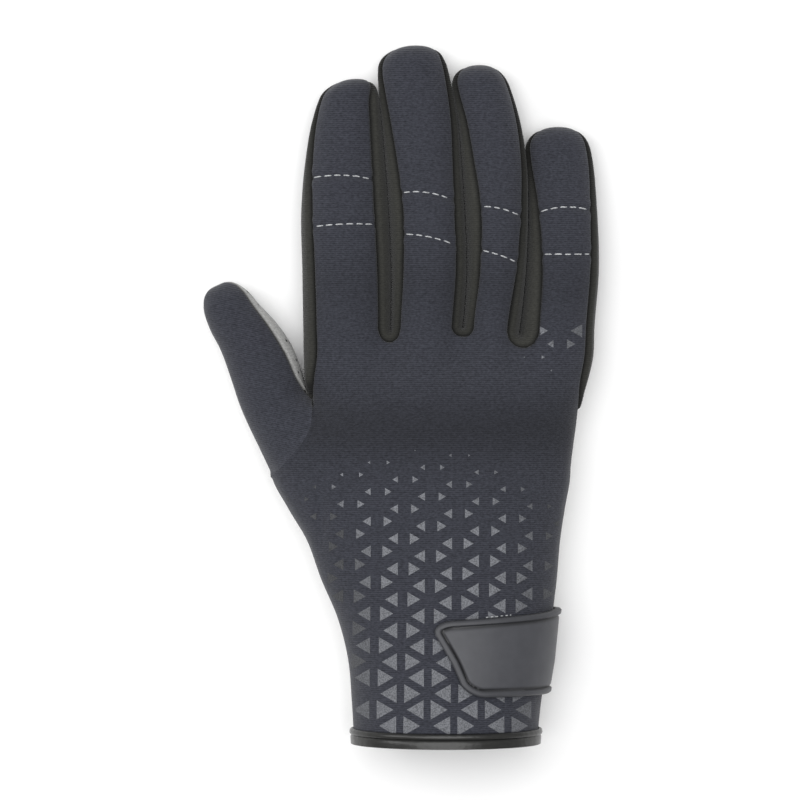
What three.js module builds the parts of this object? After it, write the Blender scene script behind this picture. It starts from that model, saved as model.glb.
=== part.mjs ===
// A right-hand diving glove of stitched neoprene, lying palm down with its fingers along +Y.
// Lengths are millimetres. Angles are degrees round a cross-section, from its top towards +X.
import * as THREE from 'three';

// Main sizes
const HAND_LENGTH = 142;
const WRIST_WIDTH = 63.3;
const WRIST_HEIGHT = 46;
const FINGER_HEIGHT = 24;
const INDEX_WIDTH = 30.2;
const MIDDLE_WIDTH = 24.8;
const RING_WIDTH = 19.5;
const LITTLE_WIDTH = 26;
const INDEX_LENGTH = 86.5;
const MIDDLE_LENGTH = 98;
const RING_LENGTH = 91.4;
const LITTLE_LENGTH = 70;
const THUMB_LENGTH = 50.2;
const THUMB_WIDTH = 24.5;
const THUMB_HEIGHT = 23;
const THUMB_ANGLE = 25;

// Material thicknesses and clearances
const BACK_WALL = 2.4;
const PALM_WALL = 1.6;
const SIDE_WALL = 1.8;
const SEAM_GAP = 0.3;
const FINGER_GAP = 0.5;
const BINDING_WALL = 1;
const BINDING_HEIGHT = 5.3;
const BINDING_CLEARANCE = 0.3;
const STRAP_WALL = 1.8;
const STRAP_CLEARANCE = 0.5;
const STRAP_RIM_HEIGHT = 0.5;
const STRAP_RIM_WIDTH = 2.2;
const STRAP_GROOVE = STRAP_RIM_WIDTH * 1.3;

// Where the strap lies on the wrist: its edges along the hand, and how far round it reaches
const STRAP_BOTTOM = 17.4;
const STRAP_WIDTH = 25.3;
const STRAP_SLOPE = 3.6;
const STRAP_TAB_LOW = 10.5;
const STRAP_TAB_HIGH = -9.5;
const STRAP_END = 140;
const STRAP_CORNER = 4;

// Cells across each part of the sheets
const FINGER_CELLS = 4;
const CROTCH_CELLS = 4;
const SIDE_CELLS = 4;
const BINDING_CELLS = 40;
const STRAP_CELLS = 16;

// The underside is flat: a section's middle lies this share of its half height above the ground
const BELLY = 0.88;

// How far a side strip runs into the cell at a fingertip where its two seams meet
const TIP_END = 0.6;

// The tape's corners are this share of its thickness
const BINDING_SOFTNESS = 0.45;

// The last bend of a finger's shaft lies clear of its rounded end, by this share of the end
const BEND_CLEARANCE = 0.25;

// A seam's sharpest corner is drawn in no further than this share of a straight seam's mitre
const LEAST_MITRE = 0.5;

// Places nearer than this count as level
const SAME_LEVEL = 1e-3;

const KNUCKLE_WIDTH = INDEX_WIDTH + MIDDLE_WIDTH + RING_WIDTH + LITTLE_WIDTH;
const HEM_LIFT = BINDING_WALL + BINDING_CLEARANCE;

// One row for each finger. Seams are shares of the half width, at the root, middle and tip.
// dome is the length of the rounded end as a share of the finger's width.
const FINGERS = [
  { name: 'index', width: INDEX_WIDTH, length: INDEX_LENGTH, rise: 1, dome: 0.26,
    left: [0.73, 0.77, 0.92], right: [0.76, 0.71, 0.82] },
  { name: 'middle', width: MIDDLE_WIDTH, length: MIDDLE_LENGTH, rise: 1.02, dome: 0.38,
    left: [0.79, 0.66, 0.72], right: [0.75, 0.78, 0.86] },
  { name: 'ring', width: RING_WIDTH, length: RING_LENGTH, rise: 1, dome: 0.46,
    left: [0.70, 0.55, 0.72], right: [0.62, 0.83, 0.92] },
  { name: 'little', width: LITTLE_WIDTH, length: LITTLE_LENGTH, rise: 0.93, dome: 0.39,
    left: [0.53, 0.66, 0.85], right: [0.81, 0.80, 0.86] },
];
const PALM_SEAM = 0.8;

// A finger's height along it, as a share of its height at the root
const FINGER_TAPER = [
  { along: 0, height: 1 },
  { along: 0.5, height: 0.95 },
  { along: 1, height: 0.74 },
];

// The lines between the fingers: sideways lean as a share of the knuckle width, at heights that
// are shares of the middle finger. The fingers fill the space between these lines.
const SIDE_LINES = [
  { up: 0, lean: [0, 0, 0, 0, 0] },
  { up: 0.207, lean: [-0.0035, 0.0014, 0.0139, 0.0239, 0.0154] },
  { up: 0.418, lean: [-0.007, -0.007, 0.0066, 0.0308, 0.0099] },
  { up: 0.595, lean: [0.007, -0.0199, -0.005, 0.0258, -0.005] },
  { up: 0.735, lean: [0.0308, -0.0318, -0.0165, 0.0035, -0.0288] },
  { up: 0.84, lean: [0.0616, -0.0417, -0.0338, -0.0258, -0.0567] },
  { up: 0.947, lean: [0.0964, -0.0467, -0.0567, -0.0616, -0.0835] },
];

// The rounded end of a finger: how far round the end, its size, and its seams
const DOME_ROWS = [
  { turn: 0, size: 1, seam: 0 },
  { turn: 32, size: 0.85, seam: 0.5 },
  { turn: 60, size: 0.5, seam: 0.85 },
  { turn: 90, size: 0.3, seam: 1 },
];

// The three crotches between fingers: drop is a share of the finger height, and stretch is the
// depth of the turn as a share of its half width
const CROTCHES = [
  { drop: 0, stretch: 1.3 },
  { drop: -0.02, stretch: 0.75 },
  { drop: 0.07, stretch: 1 },
];

// Sections of the hand from the hem to the finger roots. up is a share of the hand's length.
// spread goes from the wrist's width (0) to the knuckles' (1), fall from the wrist's height (0)
// to the fingers' (1), and lean is a share of the knuckle width. left and right are the places of
// the seams as shares of the half width.
const HAND_ROWS = [
  { up: 0, spread: 0, lean: -0.012, fall: 0, left: 1, right: 1 },
  { up: 0.098, spread: 0.062, lean: -0.009, fall: 0.045, left: 1, right: 1 },
  { up: 0.196, spread: 0.161, lean: -0.004, fall: 0.09, left: 1, right: 1 },
  { up: 0.293, spread: 0.292, lean: -0.0146, fall: 0.18, left: 1, right: 1 },
  { up: 0.39, spread: 0.496, lean: -0.035, fall: 0.27, left: 1, right: 1 },
  { up: 0.487, spread: 0.67, lean: -0.054, fall: 0.36, left: 1, right: 1 },
  { up: 0.56, spread: 0.879, lean: -0.077, fall: 0.41, left: 1, right: 1 },
  { up: 0.638, spread: 1.078, lean: -0.095, fall: 0.455, left: 1, right: 1 },
  { up: 0.662, spread: 1.139, lean: -0.1045, fall: 0.48, left: 0.892, right: 1 },
  { up: 0.694, spread: 1.172, lean: -0.1055, fall: 0.51, left: 0.803, right: 1 },
  { up: 0.728, spread: 1.142, lean: -0.0935, fall: 0.545, left: 0.762, right: 1 },
  { up: 0.764, spread: 0.976, lean: -0.056, fall: 0.577, left: 0.842, right: 1 },
  { up: 0.8, spread: 0.885, lean: -0.03, fall: 0.61, left: 0.916, right: 0.996 },
  { up: 0.827, spread: 0.802, lean: -0.006, fall: 0.636, left: 1, right: 0.985 },
  { up: 0.841, spread: 0.828, lean: -0.007, fall: 0.648, left: 0.996, right: 0.978 },
  { up: 0.876, spread: 0.893, lean: -0.0094, fall: 0.68, left: 0.967, right: 0.96 },
  { up: 0.932, spread: 0.946, lean: -0.004, fall: 0.77, left: 0.925, right: 0.95 },
  { up: 1, spread: 1, lean: 0, fall: 0.91, left: 0.92, right: 0.95 },
];
const THUMB_OUTER_ROW = 7;
const THUMB_CROTCH_ROW = 13;
const INDEX_STRIP_END_ROW = 14;
const LITTLE_STRIP_END_ROW = 12;
const GROUND_ROW = 4;

// Sections of the thumb from its crotch to its tip. along is a share of the thumb's length,
// right is the place of its inner edge and width its width, as shares of the thumb's width.
// height is a share of the thumb's height, turn is how far round the end, and seam is the place
// of the inner seam as a share of the half width. The tip lies level with THUMB_LEVEL_ROW.
const THUMB_ROWS = [
  { along: 0.056, right: 0, width: 0.98, height: 1, turn: 0, seam: 0.943 },
  { along: 0.175, right: 0.02, width: 0.99, height: 0.99, turn: 0, seam: 0.83 },
  { along: 0.347, right: 0.06, width: 0.99, height: 0.96, turn: 0, seam: 0.757 },
  { along: 0.581, right: 0, width: 0.889, height: 0.9, turn: 0, seam: 0.746 },
  { along: 0.753, right: -0.113, width: 0.79, height: 0.82, turn: 12, seam: 0.82 },
  { along: 0.89, right: -0.2, width: 0.66, height: 0.66, turn: 35, seam: 0.88 },
  { along: 0.959, right: -0.3, width: 0.48, height: 0.42, turn: 60, seam: 0.95 },
  { along: 1, right: -0.43, width: 0.22, height: 0, turn: 90, seam: 1 },
];
const THUMB_LEVEL_ROW = 4;

// Colours of the materials
const NAVY = { color: 0x3e404a, roughness: 0.9, metalness: 0 };
const BLACK_KNIT = { color: 0x373732, roughness: 0.95, metalness: 0 };
const GREY_PALM = { color: 0xaaaaa8, roughness: 0.8, metalness: 0 };
const GLOSSY_TAPE = { color: 0x0b0b0c, roughness: 0.3, metalness: 0 };
const GREY_RUBBER = { color: 0x56575b, roughness: 0.6, metalness: 0 };

const { lerp, degToRad, radToDeg, smoothstep } = THREE.MathUtils;

// A point of a sheet, with the direction that the sheet faces there
function makeNode(point, normal) {
  return { point, normal: normal.clone().normalize() };
}

function mixNodes(a, b, share) {
  return makeNode(a.point.clone().lerp(b.point, share), a.normal.clone().lerp(b.normal, share));
}

function evenSteps(from, to, cells) {
  return Array.from({ length: cells + 1 }, (_, i) => lerp(from, to, i / cells));
}

// Reads a value between the rows of a table, in straight steps
function readTable(rows, key, at, pick) {
  let i = 1;
  while (i < rows.length - 1 && rows[i][key] < at) {
    i += 1;
  }
  const low = rows[i - 1];
  const high = rows[i];
  const share = THREE.MathUtils.clamp((at - low[key]) / (high[key] - low[key]), 0, 1);
  return lerp(pick(low), pick(high), share);
}

// A point of a flat-bottomed oval section that stands across the direction ahead
function sectionNode(section, angle) {
  const sine = Math.sin(degToRad(angle));
  const cosine = Math.cos(degToRad(angle));
  const height = section.middle + section.halfHeight * cosine;
  const grounded = height <= section.ground;
  const point = section.centre.clone().addScaledVector(section.across, section.halfWidth * sine);
  point.z = Math.max(height, section.ground);
  const flat = grounded ? 0 : sine * section.halfHeight;
  const upright = grounded ? -1 : cosine * section.halfWidth;
  const radial = section.across.clone().multiplyScalar(flat).add(new THREE.Vector3(0, 0, upright));
  const turn = degToRad(section.turn);
  const normal = radial.normalize().multiplyScalar(Math.cos(turn));
  return makeNode(point, normal.addScaledVector(section.ahead, Math.sin(turn)));
}

function sectionNodes(section, from, to, cells) {
  return evenSteps(from, to, cells).map((angle) => sectionNode(section, angle));
}

function seamAngle(share) {
  return radToDeg(Math.asin(share));
}

const ACROSS = new THREE.Vector3(1, 0, 0);
const AHEAD = new THREE.Vector3(0, 1, 0);

// The sideways place of one of the five lines between the fingers, at a height above the roots
function sideLine(index, rise) {
  const root = FINGERS.slice(0, index).reduce((sum, finger) => sum + finger.width, 0);
  const lean = readTable(SIDE_LINES, 'up', rise / MIDDLE_LENGTH, (row) => row.lean[index]);
  return root + lean * KNUCKLE_WIDTH;
}

function seamShare(places, along) {
  const [root, middle, tip] = places;
  return along < 0.5 ? lerp(root, middle, along * 2) : lerp(middle, tip, along * 2 - 1);
}

// One section of a finger, with the angles of its four seams
function fingerSection(index, rise, dome) {
  const finger = FINGERS[index];
  const left = sideLine(index, rise) + FINGER_GAP / 2;
  const right = sideLine(index + 1, rise) - FINGER_GAP / 2;
  const straight = finger.length - finger.dome * finger.width;
  const along = Math.min(rise / straight, 1);
  const taper = readTable(FINGER_TAPER, 'along', along, (row) => row.height);
  const fullHeight = FINGER_HEIGHT * finger.rise * taper;
  const halfHeight = fullHeight / (1 + BELLY);
  const closed = dome.turn === 90;
  const seam = (places) => seamAngle(lerp(seamShare(places, along), 1, dome.seam));
  const palm = seamAngle(lerp(PALM_SEAM, 1, dome.seam));
  return {
    centre: new THREE.Vector3((left + right) / 2, HAND_LENGTH + rise, 0),
    across: ACROSS,
    ahead: AHEAD,
    halfWidth: ((right - left) / 2) * dome.size,
    halfHeight: closed ? 0 : halfHeight * dome.size,
    middle: BELLY * halfHeight,
    ground: 0,
    turn: dome.turn,
    seams: { left: seam(finger.left), right: seam(finger.right), palm },
  };
}

// The heights of a finger's sections: each bend of the side lines, then the rounded end
function fingerSections(index) {
  const finger = FINGERS[index];
  const domeLength = finger.dome * finger.width;
  const straight = finger.length - domeLength;
  const bends = SIDE_LINES.map((row) => row.up * MIDDLE_LENGTH);
  const shaft = bends.filter((rise) => rise < straight - domeLength * BEND_CLEARANCE);
  const sections = shaft.map((rise) => fingerSection(index, rise, DOME_ROWS[0]));
  for (const dome of DOME_ROWS) {
    const rise = straight + domeLength * Math.sin(degToRad(dome.turn));
    sections.push(fingerSection(index, rise, dome));
  }
  return sections;
}

function crotchDrop(line) {
  const crotch = CROTCHES[line - 1];
  return crotch ? crotch.drop * FINGER_HEIGHT : 0;
}

// The sheets of one finger as rows of nodes from the root to the tip
function buildFinger(index) {
  const sections = fingerSections(index);
  const rows = sections.map(({ seams, ...section }) => ({
    back: sectionNodes(section, -seams.left, seams.right, FINGER_CELLS),
    palm: sectionNodes(section, 180 + seams.palm, 180 - seams.palm, FINGER_CELLS),
    left: sectionNodes(section, -seams.left, seams.palm - 180, SIDE_CELLS),
    right: sectionNodes(section, seams.right, 180 - seams.palm, SIDE_CELLS),
  }));
  const root = sections[0];
  for (const node of Object.values(rows[0]).flat()) {
    const share = (node.point.x - root.centre.x) / (2 * root.halfWidth) + 0.5;
    node.point.y -= lerp(crotchDrop(index), crotchDrop(index + 1), share);
  }
  const sheets = {};
  for (const name of ['back', 'palm', 'left', 'right']) {
    sheets[name] = rows.map((row) => row[name]);
  }
  for (const name of ['left', 'right']) {
    const tip = sheets[name].pop()[0];
    const last = sheets[name].at(-1);
    sheets[name].push(last.map((node) => mixNodes(node, tip, TIP_END)));
  }
  return sheets;
}

const fingers = FINGERS.map((_, index) => buildFinger(index));

// The side wall turning round the end of the gap between two fingers, about an upright axis
function buildCrotch(line) {
  const before = fingers[line - 1].right[0];
  const after = fingers[line].left[0];
  const axis = sideLine(line, 0);
  const { stretch } = CROTCHES[line - 1];
  const turns = evenSteps(0, Math.PI, CROTCH_CELLS).slice(1, -1);
  return turns.map((turn) => before.map((node, i) => {
    const share = (1 - Math.cos(turn)) / 2;
    const reach = lerp(axis - node.point.x, after[i].point.x - axis, share);
    const level = lerp(node.normal.x, -after[i].normal.x, share);
    const point = new THREE.Vector3(
      axis - Math.cos(turn) * reach,
      lerp(node.point.y, after[i].point.y, share) - Math.sin(turn) * reach * stretch,
      lerp(node.point.z, after[i].point.z, share),
    );
    const upright = lerp(node.normal.z, after[i].normal.z, share);
    return makeNode(point, new THREE.Vector3(Math.cos(turn) * level, Math.sin(turn) * level, upright));
  }));
}

const crotches = [1, 2, 3].map(buildCrotch);

// The share of the hand's length at a distance from the lowest edge
function shareUp(distance) {
  return Math.max(0, (distance - HEM_LIFT) / (HAND_LENGTH - HEM_LIFT));
}

const TAPE_TOP = shareUp(BINDING_HEIGHT);

// One section of the hand at a height above the hem
function handSection(up) {
  const value = (pick) => readTable(HAND_ROWS, 'up', up, pick);
  const width = lerp(WRIST_WIDTH, KNUCKLE_WIDTH, value((row) => row.spread));
  const height = lerp(WRIST_HEIGHT, FINGER_HEIGHT, value((row) => row.fall));
  const settled = HAND_ROWS[GROUND_ROW].up;
  const ground = HEM_LIFT * THREE.MathUtils.clamp((settled - up) / (settled - TAPE_TOP), 0, 1);
  const halfHeight = (height - ground) / (1 + BELLY);
  const middle = KNUCKLE_WIDTH * (0.5 + value((row) => row.lean));
  return {
    centre: new THREE.Vector3(middle, lerp(HEM_LIFT, HAND_LENGTH, up), 0),
    across: ACROSS,
    ahead: AHEAD,
    halfWidth: width / 2 - FINGER_GAP / 2,
    halfHeight,
    middle: ground + BELLY * halfHeight,
    ground,
    turn: 0,
  };
}

// Below its root a finger's shape settles into the hand's oval by the thumb's crotch
function settle(row, root, angle) {
  const oval = sectionNode(handSection(row.up), angle);
  const below = (1 - row.up) / (1 - HAND_ROWS[THUMB_CROTCH_ROW].up);
  const share = smoothstep(below, 0, 1);
  const kept = makeNode(root.point.clone().setY(oval.point.y), root.normal);
  return mixNodes(kept, oval, share);
}

// The sheet of the hand from the finger roots down to the hem, as rows of nodes
function buildHandSheet(name, angleOf) {
  const rim = name === 'back' ? 0 : SIDE_CELLS;
  const roots = fingers.flatMap((finger, i) => {
    const turn = i < crotches.length ? crotches[i].map((nodes) => nodes[rim]) : [];
    return [...finger[name][0], ...turn];
  });
  const first = roots[0].point.x;
  const last = roots.at(-1).point.x;
  const rows = HAND_ROWS.slice(0, -1).reverse().map((row) => roots.map((root, i) => {
    const across = (root.point.x - first) / (last - first);
    const below = seamAngle(lerp(-row.left, row.right, across));
    const even = lerp(-seamAngle(row.left), seamAngle(row.right), i / (roots.length - 1));
    return settle(row, root, angleOf(lerp(even, below, row.up)));
  }));
  return [roots, ...rows];
}

const backHand = buildHandSheet('back', (angle) => angle);
const palmHand = buildHandSheet('palm', (angle) => 180 - angle);

// A row of the hand's sheets, counted from the hem as in the table
function handRow(sheet, row) {
  return sheet[HAND_ROWS.length - 1 - row];
}

// A side strip goes on from the finger's root down the hand, to just above where its seams meet
function buildHandStrip(finger, side, endRow) {
  const sign = side === 'left' ? -1 : 1;
  const roots = finger[side][0];
  const stripRow = (row) => roots.map((root, i) => {
    const seam = seamAngle(row[side]);
    return settle(row, root, sign * lerp(seam, 180 - seam, i / SIDE_CELLS));
  });
  return HAND_ROWS.slice(endRow, -1).reverse().map(stripRow);
}

// One section of the thumb. The thumb leaves the hand between its crotch and its outer corner.
function thumbSection(row) {
  const crotch = handRow(backHand, THUMB_CROTCH_ROW)[0].point;
  const outer = handRow(backHand, THUMB_OUTER_ROW)[0].point;
  const lean = degToRad(THUMB_ANGLE);
  const ahead = new THREE.Vector3(-Math.sin(lean), Math.cos(lean), 0);
  const across = new THREE.Vector3(Math.cos(lean), Math.sin(lean), 0);
  const base = crotch.clone().lerp(outer, 0.5).setZ(0);
  const reach = crotch.clone().sub(base);
  const middle = reach.dot(across) + (row.right - row.width / 2) * THUMB_WIDTH;
  const centre = base.addScaledVector(across, middle);
  const halfHeight = (THUMB_HEIGHT * row.height) / (1 + BELLY);
  const tipLevel = (THUMB_HEIGHT * THUMB_ROWS[THUMB_LEVEL_ROW].height) / (1 + BELLY);
  return {
    centre: centre.addScaledVector(ahead, reach.dot(ahead) + row.along * THUMB_LENGTH),
    across,
    ahead,
    halfWidth: (row.width / 2) * THUMB_WIDTH,
    halfHeight,
    middle: BELLY * Math.max(halfHeight, tipLevel),
    ground: 0,
    turn: row.turn,
  };
}

// The thumb's two sheets, which start at the edges of the hand's sheets
function buildThumb() {
  const cells = THUMB_CROTCH_ROW - THUMB_OUTER_ROW;
  const edgeRows = evenSteps(THUMB_CROTCH_ROW, THUMB_OUTER_ROW, cells);
  const rings = THUMB_ROWS.map((row) => {
    const section = thumbSection(row);
    const seam = seamAngle(row.seam);
    return {
      back: sectionNodes(section, seam, -90, cells),
      palm: sectionNodes(section, seam, 270, cells),
    };
  });
  const sheets = {};
  for (const [name, hand] of [['back', backHand], ['palm', palmHand]]) {
    const edge = edgeRows.map((row) => handRow(hand, row)[0]);
    edge.forEach((node, i) => {
      node.normal.add(rings[0][name][i].normal).normalize();
    });
    const halfway = edge.map((node, i) => mixNodes(node, rings[0][name][i], 0.5));
    sheets[name] = [edge, halfway, ...rings.map((ring) => ring[name])];
  }
  return sheets;
}

const thumb = buildThumb();

// Collects the faces of several grids of nodes that share nodes, all turned to face outwards
function collectFaces(grids) {
  const nodes = [];
  const numbers = new Map();
  const numberOf = (node) => {
    if (!numbers.has(node)) {
      numbers.set(node, nodes.length);
      nodes.push(node);
    }
    return numbers.get(node);
  };
  const faces = [];
  for (const grid of grids) {
    for (let r = 0; r < grid.length - 1; r += 1) {
      for (let c = 0; c < grid[r].length - 1; c += 1) {
        const corners = [grid[r][c], grid[r][c + 1], grid[r + 1][c + 1], grid[r + 1][c]];
        const diagonal = corners[2].point.clone().sub(corners[0].point);
        const facing = diagonal.cross(corners[3].point.clone().sub(corners[1].point));
        const outward = corners[0].normal.clone().add(corners[2].normal);
        const order = facing.dot(outward) > 0 ? corners : corners.reverse();
        faces.push(order.map(numberOf));
      }
    }
  }
  return { nodes, faces };
}

// The edges of faces that have no face on their other side
function borderEdges(faces) {
  const edges = new Map();
  for (const face of faces) {
    face.forEach((a, i) => {
      const b = face[(i + 1) % face.length];
      edges.set(`${a}/${b}`, [a, b]);
    });
  }
  return [...edges.values()].filter(([a, b]) => !edges.has(`${b}/${a}`));
}

// Draws the border of a sheet in by half the seam gap, along the sheet
function drawIn(nodes, border, gap) {
  const pulls = new Map();
  for (const [a, b] of border) {
    const along = nodes[b].point.clone().sub(nodes[a].point).normalize();
    for (const i of [a, b]) {
      const inward = nodes[i].normal.clone().cross(along).normalize();
      pulls.set(i, [...(pulls.get(i) ?? []), inward]);
    }
  }
  return nodes.map((node, i) => {
    if (!pulls.has(i)) {
      return node;
    }
    const [one, two] = pulls.get(i);
    const reach = gap / Math.max(1 + one.dot(two), LEAST_MITRE) / 2;
    return { ...node, point: node.point.clone().addScaledVector(one.clone().add(two), reach) };
  });
}

// Two panels that meet at a seam split its wall along the same diagonal: from the lower end
function isLower(a, b) {
  const rises = ['y', 'z', 'x'].map((key) => b[key] - a[key]);
  return rises.find((rise) => Math.abs(rise) > SAME_LEVEL) > 0;
}

function indexedGeometry(places, indices) {
  const geometry = new THREE.BufferGeometry();
  geometry.setAttribute('position', new THREE.Float32BufferAttribute(places, 3));
  geometry.setIndex(indices);
  geometry.computeVertexNormals();
  return geometry;
}

// Closes two skins that share their faces into one solid, with walls along the border
function closedGeometry(outer, inner, faces) {
  const count = outer.length;
  const indices = [];
  for (const [a, b, c, d] of faces) {
    indices.push(a, b, c, a, c, d);
    indices.push(count + c, count + b, count + a, count + d, count + c, count + a);
  }
  for (const [a, b] of borderEdges(faces)) {
    if (isLower(outer[a], outer[b])) {
      indices.push(b, a, count + b, a, count + a, count + b);
    } else {
      indices.push(b, a, count + a, b, count + a, count + b);
    }
  }
  return indexedGeometry([...outer, ...inner].flatMap((point) => point.toArray()), indices);
}

const glove = new THREE.Group();

function addPiece(name, geometry, finish) {
  const mesh = new THREE.Mesh(geometry, new THREE.MeshStandardMaterial(finish));
  mesh.name = name;
  glove.add(mesh);
}

// A stitched panel of even thickness, cut back along its seams
function addPanel(name, grids, wall, finish) {
  const { nodes, faces } = collectFaces(grids);
  const cut = drawIn(nodes, borderEdges(faces), SEAM_GAP);
  const inner = cut.map((node) => node.point.clone().addScaledVector(node.normal, -wall));
  addPiece(name, closedGeometry(cut.map((node) => node.point), inner, faces), finish);
}

function upToRoot(rows) {
  return [...rows].reverse();
}

addPanel('back_panel', [backHand, ...fingers.map((finger) => finger.back)], BACK_WALL, NAVY);
addPanel('palm_panel', [palmHand, ...fingers.map((finger) => finger.palm)], PALM_WALL, GREY_PALM);

crotches.forEach((turn, i) => {
  const name = `fourchette_${FINGERS[i].name}_${FINGERS[i + 1].name}`;
  const ribbon = [...upToRoot(fingers[i].right), ...turn, ...fingers[i + 1].left];
  addPanel(name, [ribbon], SIDE_WALL, BLACK_KNIT);
});

const indexStrip = buildHandStrip(fingers[0], 'left', INDEX_STRIP_END_ROW);
const littleStrip = buildHandStrip(fingers[3], 'right', LITTLE_STRIP_END_ROW);
addPanel('fourchette_index_outer', [[...upToRoot(fingers[0].left), ...indexStrip]], SIDE_WALL,
  BLACK_KNIT);
addPanel('fourchette_little_outer', [[...upToRoot(fingers[3].right), ...littleStrip]], SIDE_WALL,
  BLACK_KNIT);

addPanel('thumb_back', [thumb.back], BACK_WALL, NAVY);
addPanel('thumb_palm', [thumb.palm], PALM_WALL, GREY_PALM);

// The hem's tape: a U-shaped band folded over the edge of the panels, all the way round
function bindingGeometry() {
  const outside = BINDING_CLEARANCE + BINDING_WALL;
  const inside = -(BACK_WALL + BINDING_CLEARANCE);
  const soft = BINDING_WALL * BINDING_SOFTNESS;
  const profile = [
    { out: BINDING_CLEARANCE, up: BINDING_HEIGHT },
    { out: outside - soft, up: BINDING_HEIGHT },
    { out: outside, up: BINDING_HEIGHT - soft },
    { out: outside, up: soft },
    { out: outside - soft, up: 0 },
    { out: inside - BINDING_WALL + soft, up: 0 },
    { out: inside - BINDING_WALL, up: soft },
    { out: inside - BINDING_WALL, up: BINDING_HEIGHT },
    { out: inside, up: BINDING_HEIGHT },
    { out: inside, up: BINDING_WALL },
    { out: BINDING_CLEARANCE, up: BINDING_WALL },
  ];
  const places = [];
  const indices = [];
  for (let i = 0; i < BINDING_CELLS; i += 1) {
    for (const { out, up } of profile) {
      const node = sectionNode(handSection(shareUp(up)), (360 * i) / BINDING_CELLS);
      const point = node.point.clone().addScaledVector(node.normal, out);
      places.push(point.x, up, point.z);
    }
    const here = i * profile.length;
    const next = ((i + 1) % BINDING_CELLS) * profile.length;
    for (let k = 0; k < profile.length; k += 1) {
      const after = (k + 1) % profile.length;
      indices.push(here + k, next + after, next + k);
      indices.push(here + k, here + after, next + after);
    }
  }
  return indexedGeometry(places, indices);
}

addPiece('cuff_binding', bindingGeometry(), GLOSSY_TAPE);

const STRAP_START = (STRAP_TAB_LOW + STRAP_TAB_HIGH) / 2;
const STRAP_LENGTH = degToRad(STRAP_END - STRAP_START) * (WRIST_HEIGHT / 2);

// The strap's inner face across its width, at a distance from its free end, with its thickness
function strapNodes(run) {
  const share = run / STRAP_LENGTH;
  const turn = lerp(STRAP_START, STRAP_END, share);
  const width = STRAP_WIDTH + STRAP_SLOPE * THREE.MathUtils.clamp(turn / 90, 0, 1);
  const short = Math.max(STRAP_CORNER - run, 0);
  const cut = STRAP_CORNER - Math.sqrt(STRAP_CORNER ** 2 - short ** 2);
  const edge = [cut, cut + STRAP_RIM_WIDTH, cut + STRAP_GROOVE];
  const levels = [...edge, width / 2, ...edge.map((up) => width - up).reverse()];
  return levels.map((up, i) => {
    const slant = lerp(STRAP_TAB_LOW, STRAP_TAB_HIGH, up / width) - STRAP_START;
    const section = handSection(shareUp(STRAP_BOTTOM + up));
    const { point, normal } = sectionNode(section, turn + slant * (1 - share));
    const onRim = run <= STRAP_RIM_WIDTH || Math.min(i, levels.length - 1 - i) < 2;
    const wall = STRAP_WALL + (onRim ? STRAP_RIM_HEIGHT : 0);
    return { point: point.addScaledVector(normal, STRAP_CLEARANCE), normal, wall };
  });
}

// The strap: a moulded band with a raised rim, bent round the wrist's outer side
function strapGeometry() {
  const rim = [0, STRAP_RIM_WIDTH / 2, STRAP_RIM_WIDTH];
  const runs = [...rim, ...evenSteps(STRAP_GROOVE, STRAP_LENGTH, STRAP_CELLS)];
  const { nodes, faces } = collectFaces([runs.map(strapNodes)]);
  const outer = nodes.map((node) => node.point.clone().addScaledVector(node.normal, node.wall));
  return closedGeometry(outer, nodes.map((node) => node.point), faces);
}

addPiece('wrist_strap', strapGeometry(), GREY_RUBBER);

// The origin is the middle of the glove's outline on the ground
const bounds = new THREE.Box3().setFromObject(glove);
const middle = bounds.getCenter(new THREE.Vector3());
glove.position.set(-middle.x, -middle.y, -bounds.min.z);

export default glove;
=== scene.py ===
"""A right-hand diving glove of stitched neoprene, lying palm down with its fingers along +Y.

Lengths are millimetres until a mesh is made. Angles are degrees round a cross-section, from its
top towards +X. Sheets are arrays of nodes, and a node is a point followed by the direction that
the sheet faces there.
"""
import math

import bpy
import numpy as np
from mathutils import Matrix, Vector
from mathutils.bvhtree import BVHTree
from mathutils.kdtree import KDTree


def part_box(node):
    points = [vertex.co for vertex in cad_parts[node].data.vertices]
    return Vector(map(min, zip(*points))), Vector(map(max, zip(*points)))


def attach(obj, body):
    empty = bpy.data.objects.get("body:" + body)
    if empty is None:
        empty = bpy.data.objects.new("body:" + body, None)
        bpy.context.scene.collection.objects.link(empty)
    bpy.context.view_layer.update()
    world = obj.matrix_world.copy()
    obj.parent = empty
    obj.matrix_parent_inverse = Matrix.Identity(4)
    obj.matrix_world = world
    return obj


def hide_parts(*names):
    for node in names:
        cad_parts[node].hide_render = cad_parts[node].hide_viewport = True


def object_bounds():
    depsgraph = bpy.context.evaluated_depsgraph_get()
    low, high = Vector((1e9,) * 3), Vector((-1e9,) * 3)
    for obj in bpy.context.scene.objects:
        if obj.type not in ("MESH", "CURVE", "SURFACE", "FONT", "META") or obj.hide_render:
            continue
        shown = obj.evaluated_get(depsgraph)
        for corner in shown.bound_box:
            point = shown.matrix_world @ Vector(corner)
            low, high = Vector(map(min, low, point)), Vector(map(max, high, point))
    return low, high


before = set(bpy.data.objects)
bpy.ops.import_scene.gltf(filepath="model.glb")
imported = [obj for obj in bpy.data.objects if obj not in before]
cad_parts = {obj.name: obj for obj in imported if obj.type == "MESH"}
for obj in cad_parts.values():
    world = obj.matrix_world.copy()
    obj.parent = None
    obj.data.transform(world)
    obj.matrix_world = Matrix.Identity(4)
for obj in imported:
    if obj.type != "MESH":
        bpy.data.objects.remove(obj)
cad_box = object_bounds()

MM = 0.001
rng = np.random.default_rng(7)

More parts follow.
